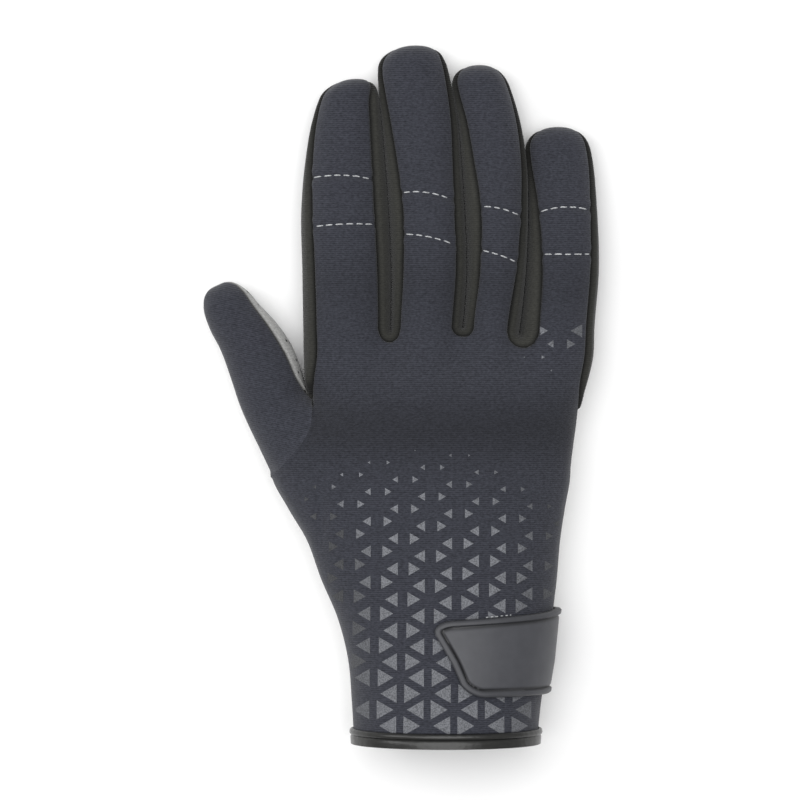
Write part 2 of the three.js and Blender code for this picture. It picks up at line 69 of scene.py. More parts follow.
# Main sizes, as in the CAD model
HAND_LENGTH = 142
WRIST_WIDTH = 63.3
WRIST_HEIGHT = 46
FINGER_HEIGHT = 24
INDEX_WIDTH = 30.2
MIDDLE_WIDTH = 24.8
RING_WIDTH = 19.5
LITTLE_WIDTH = 26
INDEX_LENGTH = 86.5
MIDDLE_LENGTH = 98
RING_LENGTH = 91.4
LITTLE_LENGTH = 70
THUMB_LENGTH = 50.2
THUMB_WIDTH = 24.5
THUMB_HEIGHT = 23
THUMB_ANGLE = 25
BACK_WALL = 2.4
PALM_WALL = 1.6
SIDE_WALL = 1.8
SEAM_GAP = 0.3
FINGER_GAP = 0.5
BINDING_WALL = 1
BINDING_HEIGHT = 5.3
BINDING_CLEARANCE = 0.3
STRAP_WALL = 1.8
STRAP_CLEARANCE = 0.5
STRAP_RIM_HEIGHT = 0.5
STRAP_BOTTOM = 17.4
STRAP_WIDTH = 25.3
STRAP_SLOPE = 3.6
STRAP_TAB_LOW = 10.5
STRAP_TAB_HIGH = -9.5
STRAP_END = 140
BELLY = 0.88
KNUCKLE_WIDTH = INDEX_WIDTH + MIDDLE_WIDTH + RING_WIDTH + LITTLE_WIDTH
HEM_LIFT = BINDING_WALL + BINDING_CLEARANCE

# Cells of the sheets, and the pieces that each is smoothed into
FINGER_CELLS = 4
CROTCH_CELLS = 4
SIDE_CELLS = 4
EDGE_FINE = 9
FINGER_FINE = 5
CROTCH_FINE = 4
SIDE_FINE = 4
THUMB_FINE = 5
ROW_STEP = 1.2
FINGER_STEP = 0.75
OUTER_STEP = 1
TOP_EXTRA_ROWS = 3
TOP_CLOSENESS = 1.4
SOFT_SEAM_FINE = 12
RELAXED_ROWS = 36
RELAX_PASSES = 60


def rows_of(columns, rows):
    """A table as one dict for each row."""
    return [dict(zip(columns, row)) for row in rows]


# Seams are shares of the half width, at the root, middle and tip
FINGERS = rows_of(("name", "width", "length", "rise", "dome", "left", "right"), [
    ("index", INDEX_WIDTH, INDEX_LENGTH, 1, 0.26, (0.73, 0.77, 0.95), (0.76, 0.71, 0.72)),
    ("middle", MIDDLE_WIDTH, MIDDLE_LENGTH, 1.02, 0.38, (0.79, 0.66, 0.93), (0.75, 0.78, 0.93)),
    ("ring", RING_WIDTH, RING_LENGTH, 1, 0.46, (0.70, 0.55, 0.88), (0.62, 0.83, 0.96)),
    ("little", LITTLE_WIDTH, LITTLE_LENGTH, 0.93, 0.39, (0.53, 0.66, 0.93), (0.81, 0.80, 0.92)),
])
PALM_SEAM = 0.8
FINGER_TAPER = rows_of(("along", "height"), [(0, 1), (0.5, 0.95), (1, 0.74)])

# Sideways lean of the five lines between the fingers, as a share of the knuckle width
SIDE_LINES = rows_of(("up", "lean"), [
    (0, (0, 0, 0, 0, 0)),
    (0.207, (-0.0035, 0.0014, 0.0139, 0.0239, 0.0154)),
    (0.418, (-0.007, -0.007, 0.0066, 0.0308, 0.0099)),
    (0.595, (0.007, -0.0199, -0.005, 0.0258, -0.005)),
    (0.735, (0.0308, -0.0318, -0.0165, 0.0035, -0.0288)),
    (0.84, (0.0616, -0.0417, -0.0338, -0.0258, -0.0567)),
    (0.947, (0.0964, -0.0467, -0.0567, -0.0616, -0.0835)),
])

# The rounded end of a finger: the angles of its rows, how square its outline is, its last row's
# size, its lean to the right, and the angle by which its seams have reached its sides
DOME_TURNS = (0, 14, 28, 42, 55, 66, 77, 90)
DOME_POWER = 2.35
DOME_END = 0.2
DOME_LEAN = 1.6
DOME_SEAMS_MEET = 75
TIP_END = 0.6

CROTCHES = rows_of(("drop", "stretch"), [(0, 1.3), (-0.02, 0.75), (0.07, 1)])

# Sections of the hand from the hem to the finger roots, in shares of the main sizes
HAND_ROWS = rows_of(("up", "spread", "lean", "fall", "left", "right"), [
    (0, 0, -0.012, 0, 1, 1),
    (0.098, 0.062, -0.009, 0.045, 1, 1),
    (0.196, 0.161, -0.004, 0.09, 1, 1),
    (0.293, 0.292, -0.0146, 0.18, 1, 1),
    (0.39, 0.496, -0.035, 0.27, 1, 1),
    (0.487, 0.67, -0.054, 0.36, 1, 1),
    (0.56, 0.879, -0.077, 0.41, 1, 1),
    (0.638, 1.078, -0.095, 0.455, 1, 1),
    (0.662, 1.139, -0.1045, 0.48, 0.892, 1),
    (0.694, 1.172, -0.1055, 0.51, 0.803, 1),
    (0.728, 1.142, -0.0935, 0.545, 0.762, 1),
    (0.764, 0.976, -0.056, 0.577, 0.842, 1),
    (0.8, 0.885, -0.03, 0.61, 0.916, 0.996),
    (0.827, 0.802, -0.006, 0.636, 1, 0.985),
    (0.841, 0.828, -0.007, 0.648, 0.996, 0.978),
    (0.876, 0.893, -0.0094, 0.68, 0.967, 0.96),
    (0.932, 0.946, -0.004, 0.77, 0.925, 0.95),
    (1, 1, 0, 0.91, 0.92, 0.95),
])
THUMB_OUTER_ROW = 7
THUMB_CROTCH_ROW = 13
INDEX_STRIP_END_ROW = 14
LITTLE_STRIP_END_ROW = 12
GROUND_ROW = 4

# Sections of the thumb from its crotch to its tip
THUMB_ROWS = rows_of(("along", "right", "width", "height", "turn", "seam"), [
    (0.056, 0, 0.98, 1, 0, 0.943),
    (0.175, 0.02, 0.99, 0.99, 0, 0.83),
    (0.347, 0.06, 0.99, 0.96, 0, 0.757),
    (0.581, 0, 0.889, 0.9, 0, 0.746),
    (0.753, -0.113, 0.79, 0.82, 12, 0.82),
    (0.89, -0.2, 0.66, 0.66, 35, 0.88),
    (0.959, -0.3, 0.48, 0.42, 60, 0.95),
    (1, -0.43, 0.22, 0, 90, 1),
])
THUMB_LEVEL_ROW = 4

# The photograph: its scale at the height of the glove's back, its middle, and the camera's
# distance over the floor. Pixels count from the top left corner.
PHOTO_MIDDLE = 400
PHOTO_SCALE = 0.345
PHOTO_LEVEL = 12
CAMERA_HEIGHT = 1300
CAMERA_X = -0.11
CAMERA_Y = -2.5
SENSOR_WIDTH = 36


def lerp(a, b, share):
    return a + (b - a) * share


def clamp(value, low=0.0, high=1.0):
    return max(low, min(high, value))


def ramp(value, start, end):
    """0 at the start, 1 at the end, and straight between them."""
    return clamp((value - start) / (end - start))


def smoothstep(value):
    value = np.clip(value, 0, 1)
    return value * value * (3 - 2 * value)


def climb(values, start, end):
    """0 up to the start, 1 from the end on, and smooth between them."""
    return smoothstep((values - start) / (end - start))


def hump(values, middle, reach):
    """1 at the middle, and smoothly less on both sides."""
    return np.exp(-((values - middle) / reach) ** 2)


def unit(vectors):
    return vectors / np.maximum(np.linalg.norm(vectors, axis=-1, keepdims=True), 1e-9)


def read_table(rows, key, at, name, index=None):
    """A value between the rows of a table, in straight steps."""
    places = [row[key] for row in rows]
    values = [row[name] if index is None else row[name][index] for row in rows]
    return float(np.interp(at, places, values))


def make_section(centre, half_width, half_height, middle, ground=0, turn=0,
                 across=(1, 0, 0), ahead=(0, 1, 0)):
    return {
        "centre": np.array(centre, float), "half_width": half_width, "half_height": half_height,
        "middle": middle, "ground": ground, "turn": math.radians(turn),
        "across": np.array(across, float), "ahead": np.array(ahead, float),
    }


def section_nodes(section, angles):
    """Nodes round a flat-bottomed oval section that stands across the direction ahead."""
    sine = np.sin(np.radians(angles))
    cosine = np.cos(np.radians(angles))
    height = section["middle"] + section["half_height"] * cosine
    grounded = height <= section["ground"]
    points = section["centre"] + np.outer(section["half_width"] * sine, section["across"])
    points[:, 2] = np.maximum(height, section["ground"])
    flat = np.where(grounded, 0, sine * section["half_height"])
    radial = np.outer(flat, section["across"])
    radial[:, 2] = np.where(grounded, -1, cosine * section["half_width"])
    normals = unit(radial) * math.cos(section["turn"]) + section["ahead"] * math.sin(section["turn"])
    return np.hstack([points, unit(normals)])


def mix_nodes(a, b, share):
    mixed = lerp(a, b, share)
    mixed[..., 3:] = unit(mixed[..., 3:])
    return mixed


def even(count):
    return np.arange(count) / count


def from_start(count, power=1.6):
    """Shares of a gap that lie closer together near its start."""
    return even(count) ** power


def to_end(count, power=1.6):
    """Shares of a gap that lie closer together near its end."""
    return 1 - (1 - even(count)) ** power


def fill(nodes, steps):
    """A smooth sheet through rows of nodes. steps[i] holds the shares filled in after row i."""
    gaps = np.linalg.norm(np.diff(nodes[..., :3], axis=0), axis=-1)
    gaps = np.maximum(gaps, 1e-4)[..., None]
    slopes = np.diff(nodes, axis=0) / gaps
    tangents = np.empty_like(nodes)
    weighted = slopes[:-1] * gaps[1:] + slopes[1:] * gaps[:-1]
    tangents[1:-1] = weighted / (gaps[1:] + gaps[:-1])
    if len(nodes) == 2:
        tangents[:] = slopes[0]
    else:
        tangents[0] = 1.5 * slopes[0] - 0.5 * tangents[1]
        tangents[-1] = 1.5 * slopes[-1] - 0.5 * tangents[-2]
    rows = []
    for i, shares in enumerate(steps):
        for t in shares:
            start = (1 + 2 * t) * (1 - t) ** 2 * nodes[i] + t**2 * (3 - 2 * t) * nodes[i + 1]
            bend = t * (1 - t) ** 2 * tangents[i] + t**2 * (t - 1) * tangents[i + 1]
            rows.append(start + bend * gaps[i])
    rows.append(nodes[-1])
    filled = np.array(rows)
    filled[..., 3:] = unit(filled[..., 3:])
    return filled


def fill_across(rows, steps):
    return np.swapaxes(fill(np.swapaxes(rows, 0, 1), steps), 0, 1)


def steps_for(rows, step=ROW_STEP):
    """Even shares of the gaps between rows, about a step apart."""
    gaps = np.linalg.norm(np.diff(rows[..., :3], axis=0), axis=-1).mean(axis=1)
    return [even(max(1, int(round(gap / step)))) for gap in gaps]


def seam_angle(share):
    return math.degrees(math.asin(share))


def side_line(index, rise):
    """The sideways place of one of the five lines between the fingers."""
    root = sum(finger["width"] for finger in FINGERS[:index])
    return root + read_table(SIDE_LINES, "up", rise / MIDDLE_LENGTH, "lean", index) * KNUCKLE_WIDTH


def finger_section(index, rise, turn):
    """One section of a finger, and the angles of its seams."""
    finger = FINGERS[index]
    left = side_line(index, rise) + FINGER_GAP / 2
    right = side_line(index + 1, rise) - FINGER_GAP / 2
    straight = finger["length"] - finger["dome"] * finger["width"]
    along = min(rise / straight, 1)
    height = FINGER_HEIGHT * finger["rise"] * read_table(FINGER_TAPER, "along", along, "height")
    half_height = height / (1 + BELLY)
    closed = turn == 90
    size = max((1 - math.sin(math.radians(turn)) ** DOME_POWER) ** (1 / DOME_POWER), DOME_END)
    round_share = float(climb(turn, 0, DOME_SEAMS_MEET))

    def seam(places):
        return seam_angle(lerp(np.interp(along, (0, 0.5, 1), places), 1, round_share))

    lean = DOME_LEAN * math.sin(math.radians(turn)) ** 2
    section = make_section(
        ((left + right) / 2 + lean, HAND_LENGTH + rise, 0), (right - left) / 2 * size,
        0 if closed else half_height * size, BELLY * half_height, turn=turn)
    return section, seam(finger["left"]), seam(finger["right"]), seam((PALM_SEAM,) * 3)


def finger_sections(index):
    finger = FINGERS[index]
    dome_length = finger["dome"] * finger["width"]
    straight = finger["length"] - dome_length
    bends = [row["up"] * MIDDLE_LENGTH for row in SIDE_LINES]
    shaft = [rise for rise in bends if rise < straight - dome_length / 4]
    sections = [finger_section(index, rise, 0) for rise in shaft]
    for turn in DOME_TURNS:
        rise = straight + dome_length * math.sin(math.radians(turn))
        sections.append(finger_section(index, rise, turn))
    return sections


def crotch_drop(line):
    return CROTCHES[line - 1]["drop"] * FINGER_HEIGHT if 1 <= line <= len(CROTCHES) else 0


def build_finger(index):
    """The sheets of one finger as rows of nodes from the root to the tip."""
    sheets = {"back": [], "palm": [], "left": [], "right": []}
    sections = finger_sections(index)
    for section, left, right, palm in sections:
        spans = {
            "back": (-left, right, FINGER_CELLS), "palm": (180 + palm, 180 - palm, FINGER_CELLS),
            "left": (-left, palm - 180, SIDE_CELLS), "right": (right, 180 - palm, SIDE_CELLS),
        }
        for name, (start, end, cells) in spans.items():
            sheets[name].append(section_nodes(section, np.linspace(start, end, cells + 1)))
    root = sections[0][0]
    for name, rows in sheets.items():
        share = (rows[0][:, 0] - root["centre"][0]) / (2 * root["half_width"]) + 0.5
        rows[0][:, 1] -= lerp(crotch_drop(index), crotch_drop(index + 1), share)
    for name in ("left", "right"):
        tip = sheets[name].pop()[0]
        last = sheets[name][-1]
        sheets[name].append(mix_nodes(last, np.broadcast_to(tip, last.shape), TIP_END))
    return {name: np.array(rows) for name, rows in sheets.items()}


def build_crotch(line, fingers):
    """The side wall turning round the end of the gap between two fingers."""
    before = fingers[line - 1]["right"][0]
    after = fingers[line]["left"][0]
    axis = side_line(line, 0)
    stretch = CROTCHES[line - 1]["stretch"]
    rings = []
    for turn in np.linspace(0, math.pi, CROTCH_CELLS + 1)[1:-1]:
        share = (1 - math.cos(turn)) / 2
        reach = lerp(axis - before[:, 0], after[:, 0] - axis, share)
        level = lerp(before[:, 3], -after[:, 3], share)
        ring = np.stack([
            axis - math.cos(turn) * reach,
            lerp(before[:, 1], after[:, 1], share) - math.sin(turn) * reach * stretch,
            lerp(before[:, 2], after[:, 2], share),
            math.cos(turn) * level,
            math.sin(turn) * level,
            lerp(before[:, 5], after[:, 5], share),
        ], axis=1)
        ring[:, 3:] = unit(ring[:, 3:])
        rings.append(ring)
    return np.array(rings)


def share_up(distance):
    """The share of the hand's length at a distance from the lowest edge."""
    return max(0, (distance - HEM_LIFT) / (HAND_LENGTH - HEM_LIFT))


TAPE_TOP = share_up(BINDING_HEIGHT)


def hand_section(up):
    spread, fall, lean = (read_table(HAND_ROWS, "up", up, name) for name in ("spread", "fall", "lean"))
    width = lerp(WRIST_WIDTH, KNUCKLE_WIDTH, spread)
    height = lerp(WRIST_HEIGHT, FINGER_HEIGHT, fall)
    settled = HAND_ROWS[GROUND_ROW]["up"]
    ground = HEM_LIFT * ramp(up, settled, TAPE_TOP)
    half_height = (height - ground) / (1 + BELLY)
    middle = KNUCKLE_WIDTH * (0.5 + lean)
    return make_section((middle, lerp(HEM_LIFT, HAND_LENGTH, up), 0), (width - FINGER_GAP) / 2,
                        half_height, ground + BELLY * half_height, ground=ground)


def settle(row, roots, angles):
    """Below its root a finger's shape settles into the hand's oval by the thumb's crotch."""
    oval = section_nodes(hand_section(row["up"]), angles)
    below = (1 - row["up"]) / (1 - HAND_ROWS[THUMB_CROTCH_ROW]["up"])
    kept = roots.copy()
    kept[:, 1] = oval[:, 1]
    return mix_nodes(kept, oval, smoothstep(below))


def build_hand_sheet(name, fingers, crotches, angle_of):
    """The sheet of the hand from the finger roots down to the hem, as rows of nodes."""
    rim = 0 if name == "back" else SIDE_CELLS
    parts = []
    for i, finger in enumerate(fingers):
        parts.append(finger[name][0])
        if i < len(crotches):
            parts.append(crotches[i][:, rim])
    roots = np.vstack(parts)
    across = (roots[:, 0] - roots[0, 0]) / (roots[-1, 0] - roots[0, 0])
    steps = np.linspace(0, 1, len(roots))
    rows = [roots]
    for row in reversed(HAND_ROWS[:-1]):
        below = np.degrees(np.arcsin(np.clip(lerp(-row["left"], row["right"], across), -1, 1)))
        spaced = lerp(-seam_angle(row["left"]), seam_angle(row["right"]), steps)
        rows.append(settle(row, roots, angle_of(lerp(spaced, below, row["up"]))))
    return np.array(rows)


def hand_row(sheet, row):
    return sheet[len(HAND_ROWS) - 1 - row]


def build_hand_strip(finger, side, end_row):
    """A side strip goes on from the finger's root down the hand."""
    sign = -1 if side == "left" else 1
    roots = finger[side][0]
    rows = []
    for row in reversed(HAND_ROWS[end_row:-1]):
        seam = seam_angle(row[side])
        rows.append(settle(row, roots, sign * np.linspace(seam, 180 - seam, SIDE_CELLS + 1)))
    return np.array(rows)


def thumb_section(row, crotch, outer):
    lean = math.radians(THUMB_ANGLE)
    ahead = np.array((-math.sin(lean), math.cos(lean), 0))
    across = np.array((math.cos(lean), math.sin(lean), 0))
    base = lerp(crotch, outer, 0.5) * (1, 1, 0)
    reach = crotch - base
    middle = reach @ across + (row["right"] - row["width"] / 2) * THUMB_WIDTH
    centre = base + across * middle + ahead * (reach @ ahead + row["along"] * THUMB_LENGTH)
    half_height = THUMB_HEIGHT * row["height"] / (1 + BELLY)
    tip_level = THUMB_HEIGHT * THUMB_ROWS[THUMB_LEVEL_ROW]["height"] / (1 + BELLY)
    return make_section(centre, row["width"] / 2 * THUMB_WIDTH, half_height,
                        BELLY * max(half_height, tip_level), turn=row["turn"], across=across,
                        ahead=ahead)


def build_thumb(hands):
    """The thumb's two sheets, which start at the edges of the hand's sheets."""
    numbers = range(THUMB_CROTCH_ROW, THUMB_OUTER_ROW - 1, -1)
    crotch = hand_row(hands["back"], THUMB_CROTCH_ROW)[0, :3]
    outer = hand_row(hands["back"], THUMB_OUTER_ROW)[0, :3]
    sheets = {}
    for name, end in (("back", -90), ("palm", 270)):
        rings = []
        for row in THUMB_ROWS:
            angles = np.linspace(seam_angle(row["seam"]), end, len(numbers))
            rings.append(section_nodes(thumb_section(row, crotch, outer), angles))
        for number, node in zip(numbers, rings[0]):
            shared = hand_row(hands[name], number)[0]
            shared[3:] = unit(shared[3:] + node[3:])
        edge = np.array([hand_row(hands[name], number)[0] for number in numbers])
        sheets[name] = np.array([edge, mix_nodes(edge, rings[0], 0.5), *rings])
    return sheets


def edged(cells, fine):
    """Shares across a sheet, closer together at both of its edges."""
    return [from_start(EDGE_FINE), *[even(fine)] * (cells - 2), to_end(EDGE_FINE)]


def relax(sheet):
    """Evens out a sheet just under its top row, which stays as it is."""
    reach = np.clip(np.linspace(1, 0, RELAXED_ROWS + 1)[1:] * 2, 0, 1)[:, None, None]
    for _ in range(RELAX_PASSES):
        inside = sheet[1:RELAXED_ROWS + 1, 1:-1]
        around = (sheet[:RELAXED_ROWS, 1:-1] + sheet[2:RELAXED_ROWS + 2, 1:-1]
                  + sheet[1:RELAXED_ROWS + 1, :-2] + sheet[1:RELAXED_ROWS + 1, 2:]) / 4
        inside += 0.5 * reach * (around - inside)
    sheet[..., 3:] = unit(sheet[..., 3:])


def smooth_panel(name, fingers, hand):
    """Smooth grids of the back or the palm: one down the hand and one for each finger."""
    finger_steps = edged(FINGER_CELLS, FINGER_FINE)
    crotch_steps = [even(CROTCH_FINE)] * CROTCH_CELLS
    stretches = [finger_steps] + [crotch_steps, finger_steps] * len(CROTCHES)
    fine = fill_across(hand, sum(stretches, []))
    # The top row has a corner at each side of each crotch, so its stretches are smoothed apart
    start = 0
    top = []
    for steps in stretches:
        top.append(fill(hand[0, start:start + len(steps) + 1], steps))
        start += len(steps)
    fine[0] = np.vstack([top[0][:1], *[stretch[1:] for stretch in top]])
    row_steps = steps_for(hand)
    row_steps[0] = from_start(len(row_steps[0]) + TOP_EXTRA_ROWS, TOP_CLOSENESS)
    columns = fill(fine, row_steps)
    grids = []
    width = sum(len(shares) for shares in finger_steps)
    for i, finger in enumerate(fingers):
        begin = i * (width + CROTCH_CELLS * CROTCH_FINE)
        span = slice(begin, begin + width + 1)
        rows = fill_across(finger[name], finger_steps)
        whole = np.vstack([rows[:0:-1], fine[:, span]])
        above = steps_for(rows[::-1], FINGER_STEP)
        smooth = fill(whole, above + row_steps)
        root = sum(len(shares) for shares in above)
        grids.append(smooth[:root + 1])
        columns[:, span] = smooth[root:]
    relax(columns)
    return [columns, *grids]


fingers = [build_finger(index) for index in range(len(FINGERS))]
crotches = [build_crotch(line, fingers) for line in (1, 2, 3)]
hands = {
    "back": build_hand_sheet("back", fingers, crotches, lambda angle: angle),
    "palm": build_hand_sheet("palm", fingers, crotches, lambda angle: 180 - angle),
}
thumb = build_thumb(hands)

# The CAD model's origin is the middle of its outline, so the sheets are moved by what takes the
# hem's middle to the middle of the binding
binding_box = np.array(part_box("cuff_binding")) / MM
whole_box = np.array(cad_box) / MM
HEM_MIDDLE = KNUCKLE_WIDTH * (0.5 + HAND_ROWS[0]["lean"])
SHIFT = np.array((binding_box[:, 0].mean() - HEM_MIDDLE, whole_box[0, 1], 0))

# The seam at the thumb's base is soft: it shows only as a slight ridge
soft_seam = thumb["back"][0]
soft_seam = fill(soft_seam, [even(SOFT_SEAM_FINE)] * (len(soft_seam) - 1))[:, :3]


# Meshes: the angle of a crisp edge, how close the nodes are that count as one, how far up the
# hem's own rim reaches, the dark lines at the seams, which are dark joints deepened with painted
# shade, and the soft seam's reach, pull and ridge, which gets a painted highlight

SHARP_ANGLE = 50
SAME_PLACE = 0.01
HEM_REACH = 0.5
SEAM_DARKNESS = 0.88
SEAM_LINE = 0.7
SOFT_REACH = 0.8
SOFT_PULL = 0.1
RIDGE_WIDTH = 0.9
RIDGE_HEIGHT = 0.4
RIDGE_PAINTED_HIGHLIGHT = 0.12


def grid_faces(rows, columns, closed=False):
    """The faces between rows of numbered points. A closed grid goes on round both ways."""
    last = 0 if closed else 1
    for r in range(rows - last):
        for c in range(columns - last):
            below, right = (r + 1) % rows, (c + 1) % columns
            yield (r * columns + c, r * columns + right, below * columns + right,
                   below * columns + c)


def turned(face):
    """The same face seen from its other side, from the same corner on."""
    return face[:1] + face[:0:-1]


def border_of(faces):
    """The edges of faces that have no face on their other side, in the faces' own direction."""
    edges = {(a, b) for face in faces for a, b in zip(face, (*face[1:], face[0]))}
    return [(a, b) for a, b in edges if (b, a) not in edges]


def join_grids(grids):
    """One list of nodes and faces from grids that share their borders."""
    nodes = np.vstack([grid.reshape(-1, 6) for grid in grids])
    places = np.round(nodes[:, :3] / SAME_PLACE).astype(int)
    _, first, numbers = np.unique(places, axis=0, return_index=True, return_inverse=True)
    order = np.argsort(first)
    numbers = np.argsort(order)[numbers.ravel()]
    nodes = nodes[first[order]]
    faces = []
    start = 0
    for rows, columns, _ in (grid.shape for grid in grids):
        for face in grid_faces(rows, columns):
            a, b, c, d = face = tuple(numbers[start + i] for i in face)
            if len(set(face)) == 4:
                outward = nodes[a, 3:] + nodes[c, 3:]
                across = np.cross(nodes[c, :3] - nodes[a, :3], nodes[d, :3] - nodes[b, :3])
                faces.append(face if across @ outward > 0 else face[::-1])
        start += rows * columns
    return nodes, faces


def distances_to(points, targets):
    tree = KDTree(len(targets))
    for i, target in enumerate(targets):
        tree.insert(target, i)
    tree.balance()
    return np.array([tree.find(point)[2] for point in points])


def show(name, data):
    shown = bpy.data.objects.new(name, data)
    bpy.context.scene.collection.objects.link(shown)
    return shown


def add_mesh(name, points, faces, material, sharp=SHARP_ANGLE, shade=None):
    """A shown mesh from points in millimetres, kept over the floor. shade multiplies its colour."""
    mesh = bpy.data.meshes.new(name)
    points = np.array(points)
    points[:, 2] = np.maximum(points[:, 2], 0)
    mesh.from_pydata((points * MM).tolist(), [], [list(map(int, face)) for face in faces])
    mesh.materials.append(material)
    mesh.polygons.foreach_set("use_smooth", [True] * len(mesh.polygons))
    if sharp:
        mesh.set_sharp_from_angle(angle=math.radians(sharp))
    values = np.ones(len(points)) if shade is None else np.asarray(shade, float)
    mesh.attributes.new("shade", "FLOAT", "POINT").data.foreach_set("value", values)
    return show(name, mesh)


def add_shell(name, outer, inner, faces, material, shade, inner_shade):
    """A closed mesh between two sheets that have the same faces."""
    count = len(outer)
    shell = faces + [tuple(count + i for i in face[::-1]) for face in faces]
    shell += [(b, a, count + a, count + b) for a, b in border_of(faces)]
    shade = np.concatenate([shade, np.full(count, inner_shade)])
    return add_mesh(name, np.vstack([outer, inner]), shell, material, shade=shade)


def finish_piece(piece, slot, node=None):
    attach(piece, "root")
    if node:
        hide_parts(node)
    return piece


def add_panel(name, node, grids, wall, material, slot, relief, painted_shade=None):
    """A closed panel of even thickness, with rolled edges and the relief of its surface."""
    nodes, faces = join_grids(grids)
    border = border_of(faces)
    rim = nodes[sorted({i for edge in border for i in edge}), :3]
    rim = rim[rim[:, 1] > HEM_LIFT + HEM_REACH]
    away = distances_to(nodes[:, :3], soft_seam)
    distance = distances_to(nodes[:, :3], rim[distances_to(rim, soft_seam) > SOFT_REACH])
    ridge = hump(away, 0, RIDGE_WIDTH)
    height = relief(nodes, distance) + RIDGE_HEIGHT * ridge
    # The rim is drawn in along the sheet by half the seam's gap
    pull = np.zeros((len(nodes), 3))
    for a, b in border:
        inward = np.cross(nodes[a, 3:], nodes[b, :3] - nodes[a, :3])
        pull[a] += inward
        pull[b] += inward
    pull = unit(pull) * SEAM_GAP / 2
    pull[away < SOFT_REACH] *= SOFT_PULL
    outer = nodes[:, :3] + nodes[:, 3:] * height[:, None] + pull + SHIFT
    inner = nodes[:, :3] - nodes[:, 3:] * wall + pull + SHIFT
    # Painted shade along the seams over their dark joint line, a painted highlight on the soft seam's
    # ridge, and the panel's own painted shade
    shade = (1 - SEAM_DARKNESS * hump(distance, 0, SEAM_LINE)) * (1 + RIDGE_PAINTED_HIGHLIGHT * ridge)
    if painted_shade:
        shade *= painted_shade(nodes)
    piece = add_shell(name, outer, inner, faces, material, shade, 1 - SEAM_DARKNESS)
    return finish_piece(piece, slot, node)


# Materials. A colour is given as it shows on screen, from 0 to 255. A noise is given by its scale
# and detail, and a bump by its strength and its depth in millimetres.

# The knit: its ribs, how they wander, and how far ribs and grain lead from its dark to its light
RIB_PITCH = 0.69
WAVE_RADIANS = 20
RIB_WANDER = 2.4
RIB_DETAIL = 3
RIB_DETAIL_SCALE = 1.6
RIB_SHARE = 0.32
GRAIN_SHARE = 1.25
KNIT_LEVEL = -0.3
NAVY_LIGHT = (64, 66, 75)
NAVY_DARK = (22, 23, 30)
THUMB_KNIT_TURN = 12
THREAD_COLOR = (196, 198, 200)
PRINT_COLOR = (119, 121, 127)
FADED_SHARE = 0.68


def linear(color):
    """A screen colour as linear light."""
    shares = np.array(color) / 255
    return tuple(np.where(shares <= 0.04045, shares / 12.92, ((shares + 0.055) / 1.055) ** 2.4))


def feed(tree, node, inputs):
    """Gives each input of a node a value, or the output that feeds it."""
    for key, value in inputs.items():
        if isinstance(value, bpy.types.NodeSocket):
            tree.links.new(value, node.inputs[key])
        else:
            node.inputs[key].default_value = value


def add_node(tree, kind, inputs, **settings):
    node = tree.nodes.new(kind)
    for key, value in settings.items():
        setattr(node, key, value)
    feed(tree, node, inputs)
    return node


def new_material(name, color, roughness):
    material = bpy.data.materials.new(name)
    material.use_nodes = True
    tree = material.node_tree
    shader = tree.nodes["Principled BSDF"]
    feed(tree, shader, {"Base Color": (*linear(color), 1), "Roughness": roughness})
    return material, tree, shader


def object_place(tree, stretch=1, turn=0):
    """The surface's own coordinates in millimetres, turned about Z and stretched along Y."""
    coordinates = add_node(tree, "ShaderNodeTexCoord", {})
    return add_node(tree, "ShaderNodeMapping", {
        "Vector": coordinates.outputs["Object"], "Scale": (1 / MM, stretch / MM, 1 / MM),
        "Rotation": (0, 0, math.radians(turn))}).outputs["Vector"]


def noise(tree, place, scale, detail):
    inputs = {"Vector": place, "Scale": scale, "Detail": detail}
    return add_node(tree, "ShaderNodeTexNoise", inputs).outputs["Fac"]


def color_ramp(tree, value, stops):
    node = add_node(tree, "ShaderNodeValToRGB", {"Fac": value})
    elements = node.color_ramp.elements
    for element, (place, color) in zip(elements, stops):
        element.position = place
        element.color = (*linear(color), 1)
    return node.outputs["Color"]


def mix_colors(tree, first, second, share, blend="MIX"):
    inputs = {"Factor": share, "A": first, "B": second}
    node = add_node(tree, "ShaderNodeMix", inputs, data_type="RGBA", blend_type=blend)
    return node.outputs["Result"]


def set_color(tree, shader, color):
    """Gives the shader a colour, darkened by the mesh's shade."""
    shade = add_node(tree, "ShaderNodeAttribute", {}, attribute_name="shade")
    shaded = mix_colors(tree, color, shade.outputs["Fac"], 1, "MULTIPLY")
    feed(tree, shader, {"Base Color": shaded})


def add_bump(tree, shader, height, strength, depth, below=None):
    inputs = {"Height": height, "Strength": strength, "Distance": depth * MM}
    if below:
        inputs["Normal"] = below
    normal = add_node(tree, "ShaderNodeBump", inputs).outputs["Normal"]
    feed(tree, shader, {"Normal": normal})
    return normal


def multiply_add(tree, value, factor, added):
    inputs = {0: value, 1: factor, 2: added}
    return add_node(tree, "ShaderNodeMath", inputs, operation="MULTIPLY_ADD").outputs["Value"]


